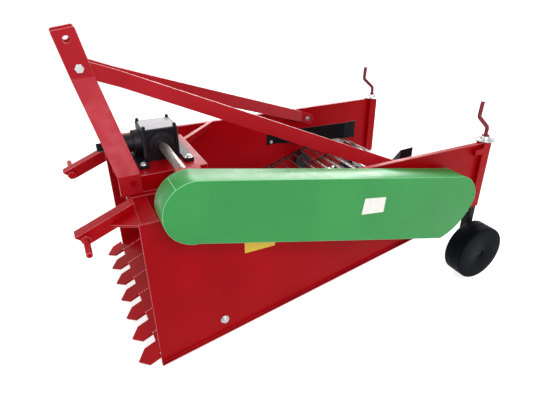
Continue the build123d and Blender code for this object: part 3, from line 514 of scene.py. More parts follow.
# %% A tree that lays rods and links along the path
web_tree, size = new_tree("Rod conveyor", {
    "Rod count": rod_count,
    "Rod diameter": ROD,
    "Rod length": 2 * web_high.y - LINK,
    "Link place": web_high.y - 1.5 * LINK,
    "Link thickness": LINK,
    "Link height": 9 * MM,
    "Knuckle radius": 8 * MM,
    "Pitch": path_length / rod_count,
})
line = add(web_tree, "GeometryNodeMeshToCurve", {"Mesh": size["Geometry"]})
spaced = add(web_tree, "GeometryNodeResampleCurve", {
    "Curve": line.outputs["Curve"], "Count": size["Rod count"]})
spots = add(web_tree, "GeometryNodeCurveToPoints", {
    "Curve": spaced.outputs["Curve"]}, mode="EVALUATED")
round_bar = add(web_tree, "GeometryNodeMeshCylinder", {
    "Vertices": 12, "Radius": 1.0, "Depth": 1.0})
half_rod = add(web_tree, "ShaderNodeMath", {0: size["Rod diameter"], 1: 0.5}, operation="MULTIPLY")
rod_scale = add(web_tree, "ShaderNodeCombineXYZ", {
    "X": half_rod.outputs["Value"], "Y": half_rod.outputs["Value"], "Z": size["Rod length"]})
rods = add(web_tree, "GeometryNodeInstanceOnPoints", {
    "Points": spots.outputs["Points"], "Instance": round_bar.outputs["Mesh"],
    "Rotation": (radians(90), 0, 0), "Scale": rod_scale.outputs["Vector"]})

# the next rod's place gives each link its direction
here = add(web_tree, "GeometryNodeInputPosition").outputs["Position"]
index = add(web_tree, "GeometryNodeInputIndex").outputs["Index"]
following = add(web_tree, "FunctionNodeIntegerMath", {0: index, 1: 1}, operation="ADD")
wrapped = add(web_tree, "FunctionNodeIntegerMath", {
    0: following.outputs[0], 1: size["Rod count"]}, operation="MODULO")
next_rod = add(web_tree, "GeometryNodeFieldAtIndex", {
    "Index": wrapped.outputs[0], "Value": here}, data_type="FLOAT_VECTOR")
along = add(web_tree, "ShaderNodeVectorMath", {
    0: next_rod.outputs["Value"], 1: here}, operation="SUBTRACT")
# the direction is stored on the points, so that it stays with them when they move
directed = add(web_tree, "GeometryNodeStoreNamedAttribute", {
    "Geometry": spots.outputs["Points"], "Name": "along", "Value": along.outputs["Vector"]},
    data_type="FLOAT_VECTOR", domain="POINT")
direction = add(web_tree, "GeometryNodeInputNamedAttribute", {
    "Name": "along"}, data_type="FLOAT_VECTOR")
half_way = add(web_tree, "ShaderNodeVectorMath", {
    0: direction.outputs["Attribute"], "Scale": 0.5}, operation="SCALE")
facing = add(web_tree, "FunctionNodeAlignRotationToVector", {
    "Vector": direction.outputs["Attribute"]}, axis="X", pivot_axis="Y")

# one link: a bar with a knuckle at each end
bar_size = add(web_tree, "ShaderNodeCombineXYZ", {
    "X": size["Pitch"], "Y": size["Link thickness"], "Z": size["Link height"]})
bar = add(web_tree, "GeometryNodeMeshCube", {"Size": bar_size.outputs["Vector"]})
knuckle = add(web_tree, "GeometryNodeMeshCylinder", {
    "Vertices": 12, "Radius": size["Knuckle radius"], "Depth": size["Link thickness"]})
half_pitch = add(web_tree, "ShaderNodeMath", {0: size["Pitch"], 1: 0.5}, operation="MULTIPLY")
back_pitch = add(web_tree, "ShaderNodeMath", {0: size["Pitch"], 1: -0.5}, operation="MULTIPLY")
parts = [bar.outputs["Mesh"]]
for shift in (half_pitch, back_pitch):
    where = add(web_tree, "ShaderNodeCombineXYZ", {"X": shift.outputs["Value"]})
    moved = add(web_tree, "GeometryNodeTransform", {
        "Geometry": knuckle.outputs["Mesh"], "Translation": where.outputs["Vector"],
        "Rotation": (radians(90), 0, 0)})
    parts.append(moved.outputs["Geometry"])
link = add(web_tree, "GeometryNodeJoinGeometry")
for part in parts:
    web_tree.links.new(part, link.inputs["Geometry"])

# odd links lie outside, even links inside, on both edges
odd = add(web_tree, "FunctionNodeIntegerMath", {0: index, 1: 2}, operation="MODULO")
side_step = add(web_tree, "ShaderNodeMath", {
    0: odd.outputs[0], 1: size["Link thickness"]}, operation="MULTIPLY")
link_line = add(web_tree, "ShaderNodeMath", {
    0: size["Link place"], 1: side_step.outputs["Value"]}, operation="ADD")
everything = add(web_tree, "GeometryNodeJoinGeometry")
for side in (1.0, -1.0):
    reach = add(web_tree, "ShaderNodeMath", {
        0: link_line.outputs["Value"], 1: side}, operation="MULTIPLY")
    shift = add(web_tree, "ShaderNodeCombineXYZ", {"Y": reach.outputs["Value"]})
    offset = add(web_tree, "ShaderNodeVectorMath", {
        0: half_way.outputs["Vector"], 1: shift.outputs["Vector"]}, operation="ADD")
    moved = add(web_tree, "GeometryNodeSetPosition", {
        "Geometry": directed.outputs["Geometry"], "Offset": offset.outputs["Vector"]})
    links = add(web_tree, "GeometryNodeInstanceOnPoints", {
        "Points": moved.outputs["Geometry"], "Instance": link.outputs["Geometry"],
        "Rotation": facing.outputs["Rotation"]})
    web_tree.links.new(links.outputs["Instances"], everything.inputs["Geometry"])
end_tree(web_tree, (
    (rods.outputs["Instances"], drawn_steel), (everything.outputs["Geometry"], dark_steel)))

# %% Bake the conveyor
web = bake("rod_conveyor", loop_mesh, web_tree, {}, "frame")
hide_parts("conveyor_web")

# %% [markdown]
# ## Bolts
# The machine is held together by hexagon bolts with washers: plated ones, ones that were
# painted over with the frame, and black ones on the castings. Each is a point with a direction
# and a size, and a small tree puts a washer, a six-sided head with a turned-down top and a
# short end of thread on it. Tables give the places, so one line moves a bolt.

# %% A tree that sets a bolt on each point
def bolt_tree(name, finish):
    """Tree of hexagon bolts in one finish. Its sizes are shares of the head's corner radius."""
    tree, size = new_tree(name, {
        "Head height": 0.62, "Washer radius": 1.32, "Washer height": 0.14, "Thread radius": 0.5})
    washer = add(tree, "GeometryNodeMeshCylinder", {
        "Vertices": 20, "Radius": size["Washer radius"], "Depth": size["Washer height"]})
    head = add(tree, "GeometryNodeMeshCylinder", {
        "Vertices": 6, "Radius": 1.0, "Depth": size["Head height"]})
    turned = add(tree, "GeometryNodeMeshCone", {
        "Vertices": 20, "Radius Bottom": 0.9, "Radius Top": 0.8, "Depth": 0.1})
    thread = add(tree, "GeometryNodeMeshCylinder", {
        "Vertices": 12, "Radius": size["Thread radius"], "Depth": 0.3})
    half_head = add(tree, "ShaderNodeMath", {0: size["Head height"], 1: 0.5}, operation="MULTIPLY")
    bolt = add(tree, "GeometryNodeJoinGeometry")
    # each shape, the half heads that lie under its middle, and the small step above them
    stack = ((washer, 0.0, 0.0), (head, 1.0, 0.07), (turned, 2.0, 0.07), (thread, 2.0, 0.23))
    for shape, share, step in stack:
        height = add(tree, "ShaderNodeMath", {
            0: half_head.outputs["Value"], 1: share, 2: step}, operation="MULTIPLY_ADD")
        lift = add(tree, "ShaderNodeCombineXYZ", {"Z": height.outputs["Value"]})
        moved = add(tree, "GeometryNodeTransform", {
            "Geometry": shape.outputs["Mesh"], "Translation": lift.outputs["Vector"]})
        tree.links.new(moved.outputs["Geometry"], bolt.inputs["Geometry"])
    facing = add(tree, "GeometryNodeInputNamedAttribute", {
        "Name": "facing"}, data_type="FLOAT_VECTOR")
    turn = add(tree, "FunctionNodeAlignRotationToVector", {
        "Vector": facing.outputs["Attribute"]}, axis="Z")
    scale = add(tree, "GeometryNodeInputNamedAttribute", {"Name": "size"}, data_type="FLOAT")
    bolts = add(tree, "GeometryNodeInstanceOnPoints", {
        "Points": size["Geometry"], "Instance": bolt.outputs["Geometry"],
        "Rotation": turn.outputs["Rotation"], "Scale": scale.outputs["Attribute"]})
    end_tree(tree, ((bolts.outputs["Instances"], finish),))
    return tree


zinc_bolts = bolt_tree("Plated bolts", zinc)
red_bolts = bolt_tree("Painted bolts", red_enamel)
black_bolts = bolt_tree("Black bolts", black_iron)


def bolt_points(table):
    """Mesh of points that carry a direction and a size; each row is x, y, z, direction, size."""
    mesh = bpy.data.meshes.new("Bolt points")
    mesh.from_pydata([row[:3] for row in table], [], [])
    mesh.attributes.new("facing", "FLOAT_VECTOR", "POINT")
    mesh.attributes.new("size", "FLOAT", "POINT")
    mesh.attributes["facing"].data.foreach_set("vector", [c for row in table for c in row[3]])
    mesh.attributes["size"].data.foreach_set("value", [row[4] for row in table])
    return mesh


# %% Bolts of the side plates and the mast
# about the corner radius of each size's head
M4, M5, M8, M10, M12, M16 = 4 * MM, 5 * MM, 7.5 * MM, 9.8 * MM, 11 * MM, 14 * MM
PROUD = 1 * MM         # from a face to the middle of the washer on it
# thicknesses of what the bolts hold
BRACE_BAR, SHEET, BEARING_PLATE = 12 * MM, 4 * MM, 10 * MM
BEARING_BOLT = 34 * MM  # from the drive shaft's middle, both ways
BRACE_BOLT, BRACE_BOLT_HEIGHT = 40 * MM, 633 * MM
SHEET_BOLT, SHEET_BOLT_HEIGHT = 28 * MM, 521 * MM
# bolt of a mast's foot: from the foot's rear end, and below the bridge's top
MAST_BOLT, MAST_BOLT_DROP = 30 * MM, 20 * MM

brace_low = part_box("mast_brace_left")[0]
sheet_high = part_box("deflector_left")[1]
brace_bolt_x = brace_low.x + BRACE_BOLT
plate_bolts = []
mast_bolts = []
for s in (1, -1):
    outwards, inwards = (0, s, 0), (0, -s, 0)
    face = s * (plate_out + PROUD)
    # ends of the idler, of the lift wheels' stubs and of the braces
    plate_bolts.append((idler_centre.x, face, idler_centre.z, outwards, M16))
    plate_bolts.append((lift_centre.x, face, lift_centre.z, outwards, M12))
    plate_bolts.append((brace_bolt_x, face, BRACE_BOLT_HEIGHT, outwards, M12))
    inner_face = s * (plate_in - BRACE_BAR - PROUD)
    plate_bolts.append((brace_bolt_x, inner_face, BRACE_BOLT_HEIGHT, inwards, M12))
    # front ends of the deflector sheets
    sheet_face = s * (plate_in - SHEET - PROUD)
    sheet_bolt_x = sheet_high.x - SHEET_BOLT
    plate_bolts.append((sheet_bolt_x, sheet_face, SHEET_BOLT_HEIGHT, inwards, M8))
    # drive bearing plates
    bearing_face = s * (plate_out + BEARING_PLATE + PROUD)
    for dx in (-BEARING_BOLT, BEARING_BOLT):
        for dz in (-BEARING_BOLT, BEARING_BOLT):
            x, z = drive_centre.x + dx, drive_centre.z + dz
            plate_bolts.append((x, bearing_face, z, outwards, M8))
    # mast feet on the bridge
    foot_face = s * (mast_high.y + PROUD)
    x, z = mast_low.x + MAST_BOLT, bridge_high.z - MAST_BOLT_DROP
    mast_bolts.append((x, foot_face, z, outwards, M12))
bake("plate_bolts", bolt_points(plate_bolts), zinc_bolts, {}, "frame")
bake("mast_foot_bolts", bolt_points(mast_bolts), red_bolts, {"Washer radius": 1.1},
     "frame")
print("plate bolts:", len(plate_bolts), "painted bolts:", len(mast_bolts))

# %% Bolts of the gearbox and the outer bearing
UP, FORWARD = (0, 0, 1), (1, 0, 0)
FOOT = 14 * MM         # thickness of a gearbox foot
FOOT_X, FOOT_END = 92 * MM, 16 * MM      # its bolts: from the middle, and from the foot's end
OUTER_X, OUTER_RISE = 48 * MM, 39 * MM   # bolts of the outer bearing: to the side, and up
STUD_INSET = 11 * MM   # from the lid's corner
INPUT_FLANGE = 28 * MM
BOSS = 9 * MM          # a side boss stands out this far from the lid
HOUSING_CIRCLE, BOSS_CIRCLE = 45 * MM, 48 * MM

outer_low, outer_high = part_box("shaft_bearing")
middle_x = (cover_low.x + cover_high.x) / 2
stud_x = cover_high.x - middle_x - STUD_INSET
stud_y = cover_high.y - STUD_INSET
boss_face = cover_high.y + BOSS + PROUD
foot_bolts = []
cover_studs = []
flange_bolts = []
for sx in (-1, 1):
    for sy in (-1, 1):
        cover_studs.append((middle_x + sx * stud_x, sy * stud_y, cover_high.z, UP, M8))
        x, y = middle_x + sx * FOOT_X, sy * (gearbox_high.y - FOOT_END)
        foot_bolts.append((x, y, bridge_high.z + FOOT + PROUD, UP, M12))
    # foot of the outer bearing
    x, z = middle_x + sx * OUTER_X, outer_low.z + OUTER_RISE
    foot_bolts.append((x, outer_high.y + PROUD, z, (0, 1, 0), M10))
for k in range(6):
    across, rise = cos(radians(60 * k + 30)), sin(radians(60 * k + 30))
    # flange of the input housing
    y, z = HOUSING_CIRCLE * across, shaft_height + HOUSING_CIRCLE * rise
    flange_bolts.append((cover_high.x + INPUT_FLANGE, y, z, FORWARD, M5))
    # bearing bosses on both sides
    x, z = middle_x + BOSS_CIRCLE * across, shaft_height + BOSS_CIRCLE * rise
    for s in (1, -1):
        flange_bolts.append((x, s * boss_face, z, (0, s, 0), M4))
bake("gearbox_foot_bolts", bolt_points(foot_bolts), zinc_bolts, {}, "frame")
bake("gearbox_cover_studs", bolt_points(cover_studs), black_bolts, {"Head height": 1.5},
     "frame")
bake("gearbox_flange_bolts", bolt_points(flange_bolts), black_bolts, {}, "frame")
print("gearbox bolts:", len(foot_bolts) + len(cover_studs) + len(flange_bolts))

# %% [markdown]
# ## Weld beads
# The frame is welded, and a hand-laid bead is a row of small overlapping ripples. Each seam is
# a line between points. A tree walks along it and drops a small ball every few millimetres, each
# of a slightly different size, which gives the ripple without any modelling by hand. A bead is
# painted over with its plate, so most have the plate's enamel. On the seams that wear it is
# pale, for thin worn paint and for a painted highlight; on the joint of the guard its pale green
# is a painted highlight.

# %% A tree that lays a bead along a line
def weld_tree(name, finish):
    """Tree of weld beads in one finish."""
    tree, size = new_tree(name, {"Ripple spacing": 5 * MM, "Bead radius": 3.2 * MM, "Seed": 4})
    seam = add(tree, "GeometryNodeMeshToCurve", {"Mesh": size["Geometry"]})
    steps = add(tree, "GeometryNodeResampleCurve", {
        "Curve": seam.outputs["Curve"], "Length": size["Ripple spacing"]}, mode="LENGTH")
    ripple = add(tree, "GeometryNodeMeshUVSphere", {"Segments": 8, "Rings": 5, "Radius": 1.0})
    tangent = add(tree, "GeometryNodeInputTangent")
    lay = add(tree, "FunctionNodeAlignRotationToVector", {
        "Vector": tangent.outputs["Tangent"]}, axis="X")
    # sockets 2 and 3 are the least and the most of a random float, and output 1 is the float
    uneven = add(tree, "FunctionNodeRandomValue", {
        2: 0.8, 3: 1.15, "Seed": size["Seed"]}, data_type="FLOAT")
    girth = add(tree, "ShaderNodeMath", {
        0: size["Bead radius"], 1: uneven.outputs[1]}, operation="MULTIPLY")
    beads = add(tree, "GeometryNodeInstanceOnPoints", {
        "Points": steps.outputs["Curve"], "Instance": ripple.outputs["Mesh"],
        "Rotation": lay.outputs["Rotation"], "Scale": girth.outputs["Value"]})
    end_tree(tree, ((beads.outputs["Instances"], finish),))
    return tree


red_welds = weld_tree("Painted weld bead", red_enamel)
worn_highlit_welds = weld_tree("Worn weld bead with painted highlight", worn_red_and_highlight)
highlit_green_welds = weld_tree("Guard weld bead with painted highlight", green_edge_highlight)


def seam_lines(lines):
    """Mesh of separate lines, each a list of points."""
    points = []
    edges = []
    for line in lines:
        first = len(points)
        points.extend(line)
        edges.extend((first + i, first + i + 1) for i in range(len(line) - 1))
    mesh = bpy.data.meshes.new("Seams")
    mesh.from_pydata(points, edges, [])
    return mesh


# %% Seams of the frame
ARM_MIDDLE = 314.5 * MM
ARM_WIDTH = 52 * MM
ARM_SEAM = 26 * MM     # down the front of the beam
MAST_FOOT = 82 * MM    # length of the mast's foot, front to back
MAST_BAR = 12 * MM     # thickness of the bar
SHORT = 2 * MM         # a seam ends this far before an edge
OUTER_SEAM = 8 * MM    # outside the mast's foot, above the beam
STRUT_SEAM = 30 * MM   # a strut's seam starts this far from the bridge's rear edge
# the share's seams: in from both ends, down from its top, and up from its lowest point
SHARE_INSET, SHARE_DROP, SHARE_RISE = 6 * MM, 4 * MM, 48 * MM

front = beam_high.x
seams = []
for s in (1, -1):
    arm_sides = [s * (ARM_MIDDLE + side * ARM_WIDTH / 2) for side in (-1, 1)]
    inner = s * plate_in
    # hitch arm to the beam
    seams.append([(front, y, beam_high.z) for y in arm_sides])
    for y in arm_sides:
        seams.append([(front, y, z) for z in (beam_high.z - ARM_SEAM, beam_high.z)])
    # beam to the side plates
    for x in (beam_low.x, front):
        seams.append([(x, inner, z) for z in (beam_low.z + SHORT, beam_high.z - SHORT)])
    # mast foot to the bridge
    foot_outside, foot_inside = s * mast_high.y, s * (mast_high.y - MAST_BAR)
    for y, z, end in ((foot_outside, beam_high.z + OUTER_SEAM, mast_low.x + MAST_FOOT),
                      (foot_inside, bridge_high.z, front - SHORT)):
        seams.append([(mast_low.x, y, z), (end, y, z)])
    # strut to the bridge
    seams.append([(bridge_low.x + gap, foot_inside, plate_high.z) for gap in (STRUT_SEAM, SHORT)])
    # share to the side plates
    seams.append([(share_low.x + SHARE_INSET, inner, share_high.z - SHARE_DROP),
                  (plate_high.x - SHARE_INSET, inner, share_low.z + SHARE_RISE)])
bake("frame_welds", seam_lines(seams), red_welds, {}, "frame")

# %% Heavy seams from the mast feet down the front of the beam
HEAVY_BEAD = 7 * MM
BEAD_AHEAD = 2 * MM    # from the beam's front to the middle of the bead
BEAD_END = 4 * MM      # above the beam's lower edge

foot_seams = []
for s in (1, -1):
    x, y = front + BEAD_AHEAD, s * (mast_high.y - MAST_BAR / 2)
    foot_seams.append([(x, y, beam_low.z + BEAD_END), (x, y, beam_high.z)])
bake("mast_foot_welds", seam_lines(foot_seams), red_welds, {"Bead radius": HEAVY_BEAD},
     "frame")

# %% [markdown]
# ## Seams of the share
# The share is seven hardened blades welded side by side on a plate. Behind each notch the weld
# between two blades runs back about 100 mm, along one side of each blade. These seams take the
# most wear from the soil, so the paint is thin on them. Their bright broken line is partly that
# worn paint and partly a painted highlight in the beads' pale colour.

# %% Worn seams between the blades
BLADES = 7
BLADE = 94 * MM        # width of a blade
SHARE_SHEET = 10 * MM  # thickness
SLOPE = radians(24)
SEAM_START, SEAM_END = 94 * MM, 200 * MM   # along the slope, from the points

row = (share_high.y - share_low.y) - BLADE
tip_x = share_high.x - SHARE_SHEET * sin(SLOPE)


def on_share(along, y):
    """Point on the share's top face, at a distance back from the points along the slope."""
    x = tip_x - along * cos(SLOPE) + SHARE_SHEET * sin(SLOPE)
    z = share_low.z + along * sin(SLOPE) + SHARE_SHEET * cos(SLOPE)
    return x, y, z


blade_seams = []
for k in range(BLADES - 1):
    y = row * (k / (BLADES - 1) - 0.5) + BLADE / 2
    blade_seams.append([on_share(SEAM_START, y), on_share(SEAM_END, y)])
bake("blade_seams", seam_lines(blade_seams), worn_highlit_welds,
     {"Ripple spacing": 13 * MM, "Bead radius": 5 * MM}, "frame")

# %% Joint of the guard's rim
# the rim is a strip of sheet round the face, and its ends are welded together near the front
JOINT_X = 661 * MM
HIGH_ABOVE = 2.0       # where the ray that finds the rim starts
JOINT_INSET = 5 * MM

bpy.context.view_layer.update()
above_rim = Vector((JOINT_X, (case_low.y + case_high.y) / 2, HIGH_ABOVE))
on_rim = nodes["chain_case_cover"].ray_cast(above_rim, Vector((0, 0, -1)))[1]
joint_ends = (case_low.y + JOINT_INSET, case_high.y - JOINT_INSET)
guard_joint = seam_lines([[(on_rim.x, y, on_rim.z) for y in joint_ends]])
# the bead takes the pale green edge enamel, a painted highlight along the joint
bake("guard_joint", guard_joint, highlit_green_welds, {"Bead radius": 2.2 * MM}, "frame")

# %% [markdown]
# ## Turned parts
# Wheels, bearing covers, plugs and washers are all round about one axis. Each follows a rule,
# one outline turned round that axis, so the outline is drawn once and spun with bmesh. A helper
# is simpler here than a tree, because no two of the outlines are alike.

# %% Spin a round part from its outline
def finished_mesh(shape, name, material):
    """Turn a bmesh into a plain mesh with outward faces and one material."""
    bmesh.ops.recalc_face_normals(shape, faces=shape.faces)
    mesh = bpy.data.meshes.new(name)
    shape.to_mesh(mesh)
    shape.free()
    mesh.materials.append(material)
    return mesh


def turned_part(name, outline, place, axis, material, body, steps=40, sharp=35):
    """Spin an outline of (radius, height) round an axis and put it at a place."""
    shape = bmesh.new()
    points = [shape.verts.new((r, 0, h)) for r, h in outline]
    edges = [shape.edges.new(pair) for pair in zip(points, points[1:])]
    bmesh.ops.spin(
        shape, geom=points + edges, cent=(0, 0, 0), axis=(0, 0, 1), angle=2 * pi, steps=steps)
    bmesh.ops.remove_doubles(shape, verts=shape.verts, dist=0.02 * MM)
    bmesh.ops.holes_fill(shape, edges=[e for e in shape.edges if e.is_boundary], sides=0)
    turn = Vector((0, 0, 1)).rotation_difference(Vector(axis)).to_matrix().to_4x4()
    bmesh.ops.transform(shape, matrix=Matrix.Translation(place) @ turn, verts=shape.verts)
    for face in shape.faces:
        face.smooth = True
    mesh = finished_mesh(shape, name, material)
    mesh.set_sharp_from_angle(angle=radians(sharp))
    return place_piece(name, mesh, body)


# %% [markdown]
# ## Solid rubber wheels
# A depth wheel is one moulding of solid rubber with a round shoulder, a shallow groove round
# the middle of its tread and a flat side with a small recess at the hub. It stands for the CAD
# wheel, which has only a chamfer at the shoulder.

# %% Rubber wheels
BORE = 10.1 * MM
HUB, HUB_DEPTH = 18.2 * MM, 13 * MM
SHOULDER = 7 * MM      # rounding between the tread and the side
GROOVE, GROOVE_DEPTH = 6 * MM, 2 * MM


def wheel_outline(radius, width):
    """Outline of a wheel's section as radius and distance across, closed at the bore."""
    half = width / 2
    side = [
        (BORE, half - HUB_DEPTH),
        (HUB, half - HUB_DEPTH),
        (HUB, half - 1.5 * MM),
        (HUB + 1.8 * MM, half),
        (radius - SHOULDER, half),
    ]
    shoulder = [
        (radius - SHOULDER * (1 - sin(a)), half - SHOULDER * (1 - cos(a)))
        for a in (radians(22), radians(45), radians(68))
    ]
    tread = [
        (radius, half - SHOULDER), (radius, GROOVE / 2), (radius - GROOVE_DEPTH, GROOVE / 4)]
    one_side = side + shoulder + tread
    return one_side + [(r, -y) for r, y in reversed(one_side)] + one_side[:1]


tyre_section = wheel_outline((tyre_high.z - tyre_low.z) / 2, tyre_high.y - tyre_low.y)
for side, s in (("left", 1), ("right", -1)):
    centre = Vector((wheel_centre.x, s * wheel_centre.y, wheel_centre.z))
    wheel = turned_part("rubber_wheel_" + side, tyre_section, centre, (0, 1, 0), rubber,
                        "wheel_" + side, steps=72, sharp=40)
    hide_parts("depth_wheel_" + side)

# %% [markdown]
# ## Labels
# Two labels are stuck on the machine, a white one on the guard and a yellow one on the side
# plate behind it. They are left blank. A label is a thin plate with rounded corners, lying a
# little proud of the paint, as film does. Its outline is bevelled at the corners and then
# pushed out, and a later piece on the gearbox lid is made in the same way.

# %% Thin plates with round corners
def round_plate(name, corners, radius, push, material):
    """Plate from four corners in space, rounded at the corners and pushed out along a vector."""
    shape = bmesh.new()
    shape.faces.new([shape.verts.new(corner) for corner in corners])
    bmesh.ops.bevel(shape, geom=list(shape.verts), offset=radius, segments=4,
                    affect="VERTICES", profile=0.5)
    raised = bmesh.ops.extrude_face_region(shape, geom=list(shape.faces))
    top = [item for item in raised["geom"] if isinstance(item, bmesh.types.BMVert)]
    bmesh.ops.translate(shape, verts=top, vec=push)
    return place_piece(name, finished_mesh(shape, name, material), "frame")


FILM = 0.8 * MM        # thickness of the film, and how far it lies off the paint
FILM_CORNER = 2 * MM
# corners as x and z
guard_label = ((-0.075, 0.632), (-0.179, 0.616), (-0.173, 0.549), (-0.063, 0.563))
plate_label = ((0.388, 0.493), (0.255, 0.493), (0.255, 0.431), (0.388, 0.431))
for name, corners, face, material in (
        ("guard_label", guard_label, guard_face, white_film),
        ("side_label", plate_label, plate_out, yellow_film)):
    outline = [(x, face + FILM, z) for x, z in corners]
    round_plate(name, outline, FILM_CORNER, (0, FILM, 0), material)

# %% [markdown]
# ## Small parts of the gearbox and the jacks
# Each side bearing of the gearbox is closed by a stepped round cover, an oil level plug sits on
# its front, and a pale sheet on its lid is a painted reflection of the light that the glossy black
# lid reflects. Each screw jack has a thin plated lock washer, which sticks out all round the
# collar's flange.

# %% Level plug, bearing covers and lock washers
level_plug = [
    (0, 0), (11 * MM, 0), (11 * MM, 4 * MM), (7 * MM, 5 * MM), (7 * MM, 11 * MM), (0, 12 * MM)]
bearing_cover = [
    (20 * MM, 0), (20 * MM, 9 * MM), (27 * MM, 9 * MM), (31 * MM, 4 * MM), (43 * MM, 4 * MM),
    (46 * MM, 1.5 * MM), (50 * MM, 1.5 * MM), (52 * MM, 0), (20 * MM, 0)]
lock_washer = [
    (34 * MM, 0), (46 * MM, 0), (47 * MM, 1 * MM), (47 * MM, 3 * MM), (34 * MM, 3 * MM),
    (34 * MM, 0)]
plug_seat = (cover_high.x, -60 * MM, bridge_high.z + 30 * MM)
turned_part("gearbox_level_plug", level_plug, plug_seat, FORWARD, zinc, "frame", steps=24)
for side, s in (("left", 1), ("right", -1)):
    boss = (middle_x, s * boss_face, shaft_height)
    turned_part("bearing_cover_" + side, bearing_cover, boss, (0, s, 0), black_iron,
                "frame")
for side in ("left", "right"):
    low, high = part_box("jack_collar_" + side)
    under_flange = ((low.x + high.x) / 2, (low.y + high.y) / 2, low.z + 2 * MM)
    turned_part("lock_washer_" + side, lock_washer, under_flange, UP, zinc, "frame")

# %% Pale sheet on the lid: a painted reflection
LID_INSET = 8 * MM
LID_REFLECTION_SHEET = 1 * MM
x0, x1 = cover_low.x + LID_INSET, cover_high.x - LID_INSET
y0, y1 = cover_low.y + LID_INSET, cover_high.y - LID_INSET
lid_corners = [(x, y, cover_high.z) for x, y in ((x0, y0), (x1, y0), (x1, y1), (x0, y1))]
# a pale grey sheet inset on the black lid, painted in for the reflection on its gloss
round_plate("gearbox_lid_painted_reflection", lid_corners, LID_INSET, (0, 0, LID_REFLECTION_SHEET), grey_iron)

# %% [markdown]
# ## Floor, light and camera
# The machine stands on a plain pale floor under soft studio light: a key lamp on the near side,
# a wide lamp behind the far side that gives the upper faces their sheen, a small weak one in
# front, and an even pale surround. The lamps are at a plain level, so that a colour renders as
# it was written. The floor and the surround look white to the camera and in reflections, and
# the floor keeps a soft shadow.

# %% Which rays see the white background
def show_white(tree, output, plain, white):
    """End a tree: rays from the camera, from gloss and through glass meet the white shader."""
    ray = add(tree, "ShaderNodeLightPath").outputs
    mirrored = add(tree, "ShaderNodeMath", {
        0: ray["Is Camera Ray"], 1: ray["Is Glossy Ray"]}, operation="MAXIMUM")
    seen = add(tree, "ShaderNodeMath", {
        0: mirrored.outputs["Value"], 1: ray["Is Transmission Ray"]}, operation="MAXIMUM")
    mix = add(tree, "ShaderNodeMixShader", {"Fac": seen.outputs["Value"], 1: plain, 2: white})
    add(tree, output, {"Surface": mix.outputs["Shader"]})


# %% Floor
REACH = 30.0

floor_mesh = bpy.data.meshes.new("Floor")
corners = ((-REACH, -REACH, 0), (REACH, -REACH, 0), (REACH, REACH, 0), (-REACH, REACH, 0))
floor_mesh.from_pydata(corners, [], [(0, 1, 2, 3)])
floor_paint = bpy.data.materials.new("Pale studio floor")
floor_paint.use_nodes = True
tree = floor_paint.node_tree
tree.nodes.clear()
pale = add(tree, "ShaderNodeBsdfDiffuse", {"Color": colour("#F2F2F0")})
shadowed = add(tree, "ShaderNodeBsdfDiffuse", {"Color": colour("#A8A8A8")})
shine = add(tree, "ShaderNodeEmission", {"Color": colour("#FFFFFF"), "Strength": 0.8})
both = add(tree, "ShaderNodeAddShader", {0: shadowed.outputs["BSDF"], 1: shine.outputs["Emission"]})
show_white(tree, "ShaderNodeOutputMaterial", pale.outputs["BSDF"], both.outputs["Shader"])
floor_mesh.materials.append(floor_paint)
floor = in_scene("floor", floor_mesh)

# %% Surround
world = bpy.data.worlds.new("Studio")
bpy.context.scene.world = world
world.use_nodes = True
tree = world.node_tree
tree.nodes.clear()
light = add(tree, "ShaderNodeBackground", {"Color": colour("#FFFFFF"), "Strength": 0.55})
white = add(tree, "ShaderNodeBackground", {"Color": colour("#FFFFFF"), "Strength": 1.0})
show_white(tree, "ShaderNodeOutputWorld", light.outputs["Background"], white.outputs["Background"])

# %% Lamps
def area_lamp(name, place, target, width, power):
    """Square lamp at a place, turned to a target."""
    lamp = bpy.data.lights.new(name, "AREA")
    lamp.size = width
    lamp.energy = power
    holder = in_scene(name, lamp)
    holder.location = place
    holder.rotation_euler = (Vector(target) - Vector(place)).to_track_quat("-Z", "Y").to_euler()


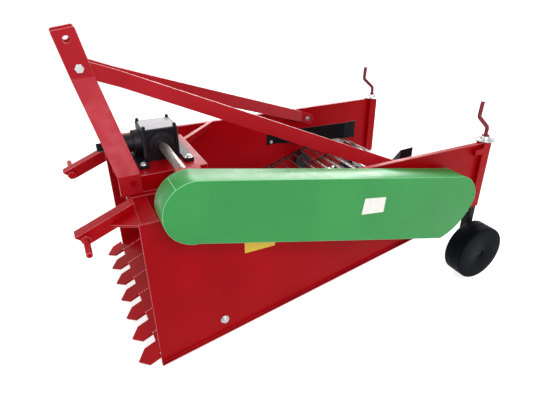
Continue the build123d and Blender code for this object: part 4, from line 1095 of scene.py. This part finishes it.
area_lamp("Front lamp", (3.6, -0.2, 3.0), (0, 0, 0.5), 2.2, 35)
area_lamp("Key lamp", (0.46, 4.2, 3.1), (0.2, 0, 0.6), 2.0, 115)
area_lamp("Back lamp", (-1.9, -3.1, 2.6), (0, 0, 0.6), 3.4, 240)

# %% Camera
YAW, DOWN, ROLL = radians(25.78), radians(28.08), radians(-0.43)
EYE = (0.9305, 1.8526, 1.443)

forward = Vector((-sin(YAW) * cos(DOWN), -cos(YAW) * cos(DOWN), -sin(DOWN)))
level = forward.cross(Vector((0, 0, 1))).normalized()
upright = level.cross(forward)
right = level * cos(ROLL) + upright * sin(ROLL)
top = upright * cos(ROLL) - level * sin(ROLL)
turn = Matrix((right, top, -forward)).transposed()
lens = bpy.data.cameras.new("Camera")
lens.lens = 29.47
lens.sensor_width = 36.0
lens.clip_end = 100.0
camera = in_scene("Camera", lens)
camera.matrix_world = Matrix.Translation(EYE) @ turn.to_4x4()
bpy.context.scene.camera = camera
bpy.context.scene.view_settings.view_transform = "Standard"

# %% [markdown]
# ## Soft edges
# A sheared or sawn edge under paint is never razor sharp, and a small bevel there catches a
# thin line of light. The bevel's faces also take the paler edge enamel, a painted highlight. It
# comes last, because only then is it known which nodes still show.

# %% Round the edges of the nodes that show
EDGE_RADIUS = 1.5 * MM
SHARP = radians(35)


def soften(node):
    """Join a mesh's loose triangles and round its sharp edges by a small bevel."""
    join = node.modifiers.new("Join", "WELD")
    join.merge_threshold = 0.01 * MM
    flat = node.modifiers.new("Flat faces", "DECIMATE")
    flat.decimate_type = "DISSOLVE"
    flat.angle_limit = radians(0.5)
    bevel = node.modifiers.new("Soft edges", "BEVEL")
    bevel.width = EDGE_RADIUS
    bevel.segments = 2
    bevel.limit_method = "ANGLE"
    bevel.angle_limit = SHARP
    # the bevel's faces take the node's second material, the paler edge enamel: a painted highlight
    if len(node.data.materials) > 1:
        bevel.material = 1


shown = [node for node in nodes.values() if not node.hide_render]
for node in shown:
    soften(node)
print("softened nodes:", len(shown))
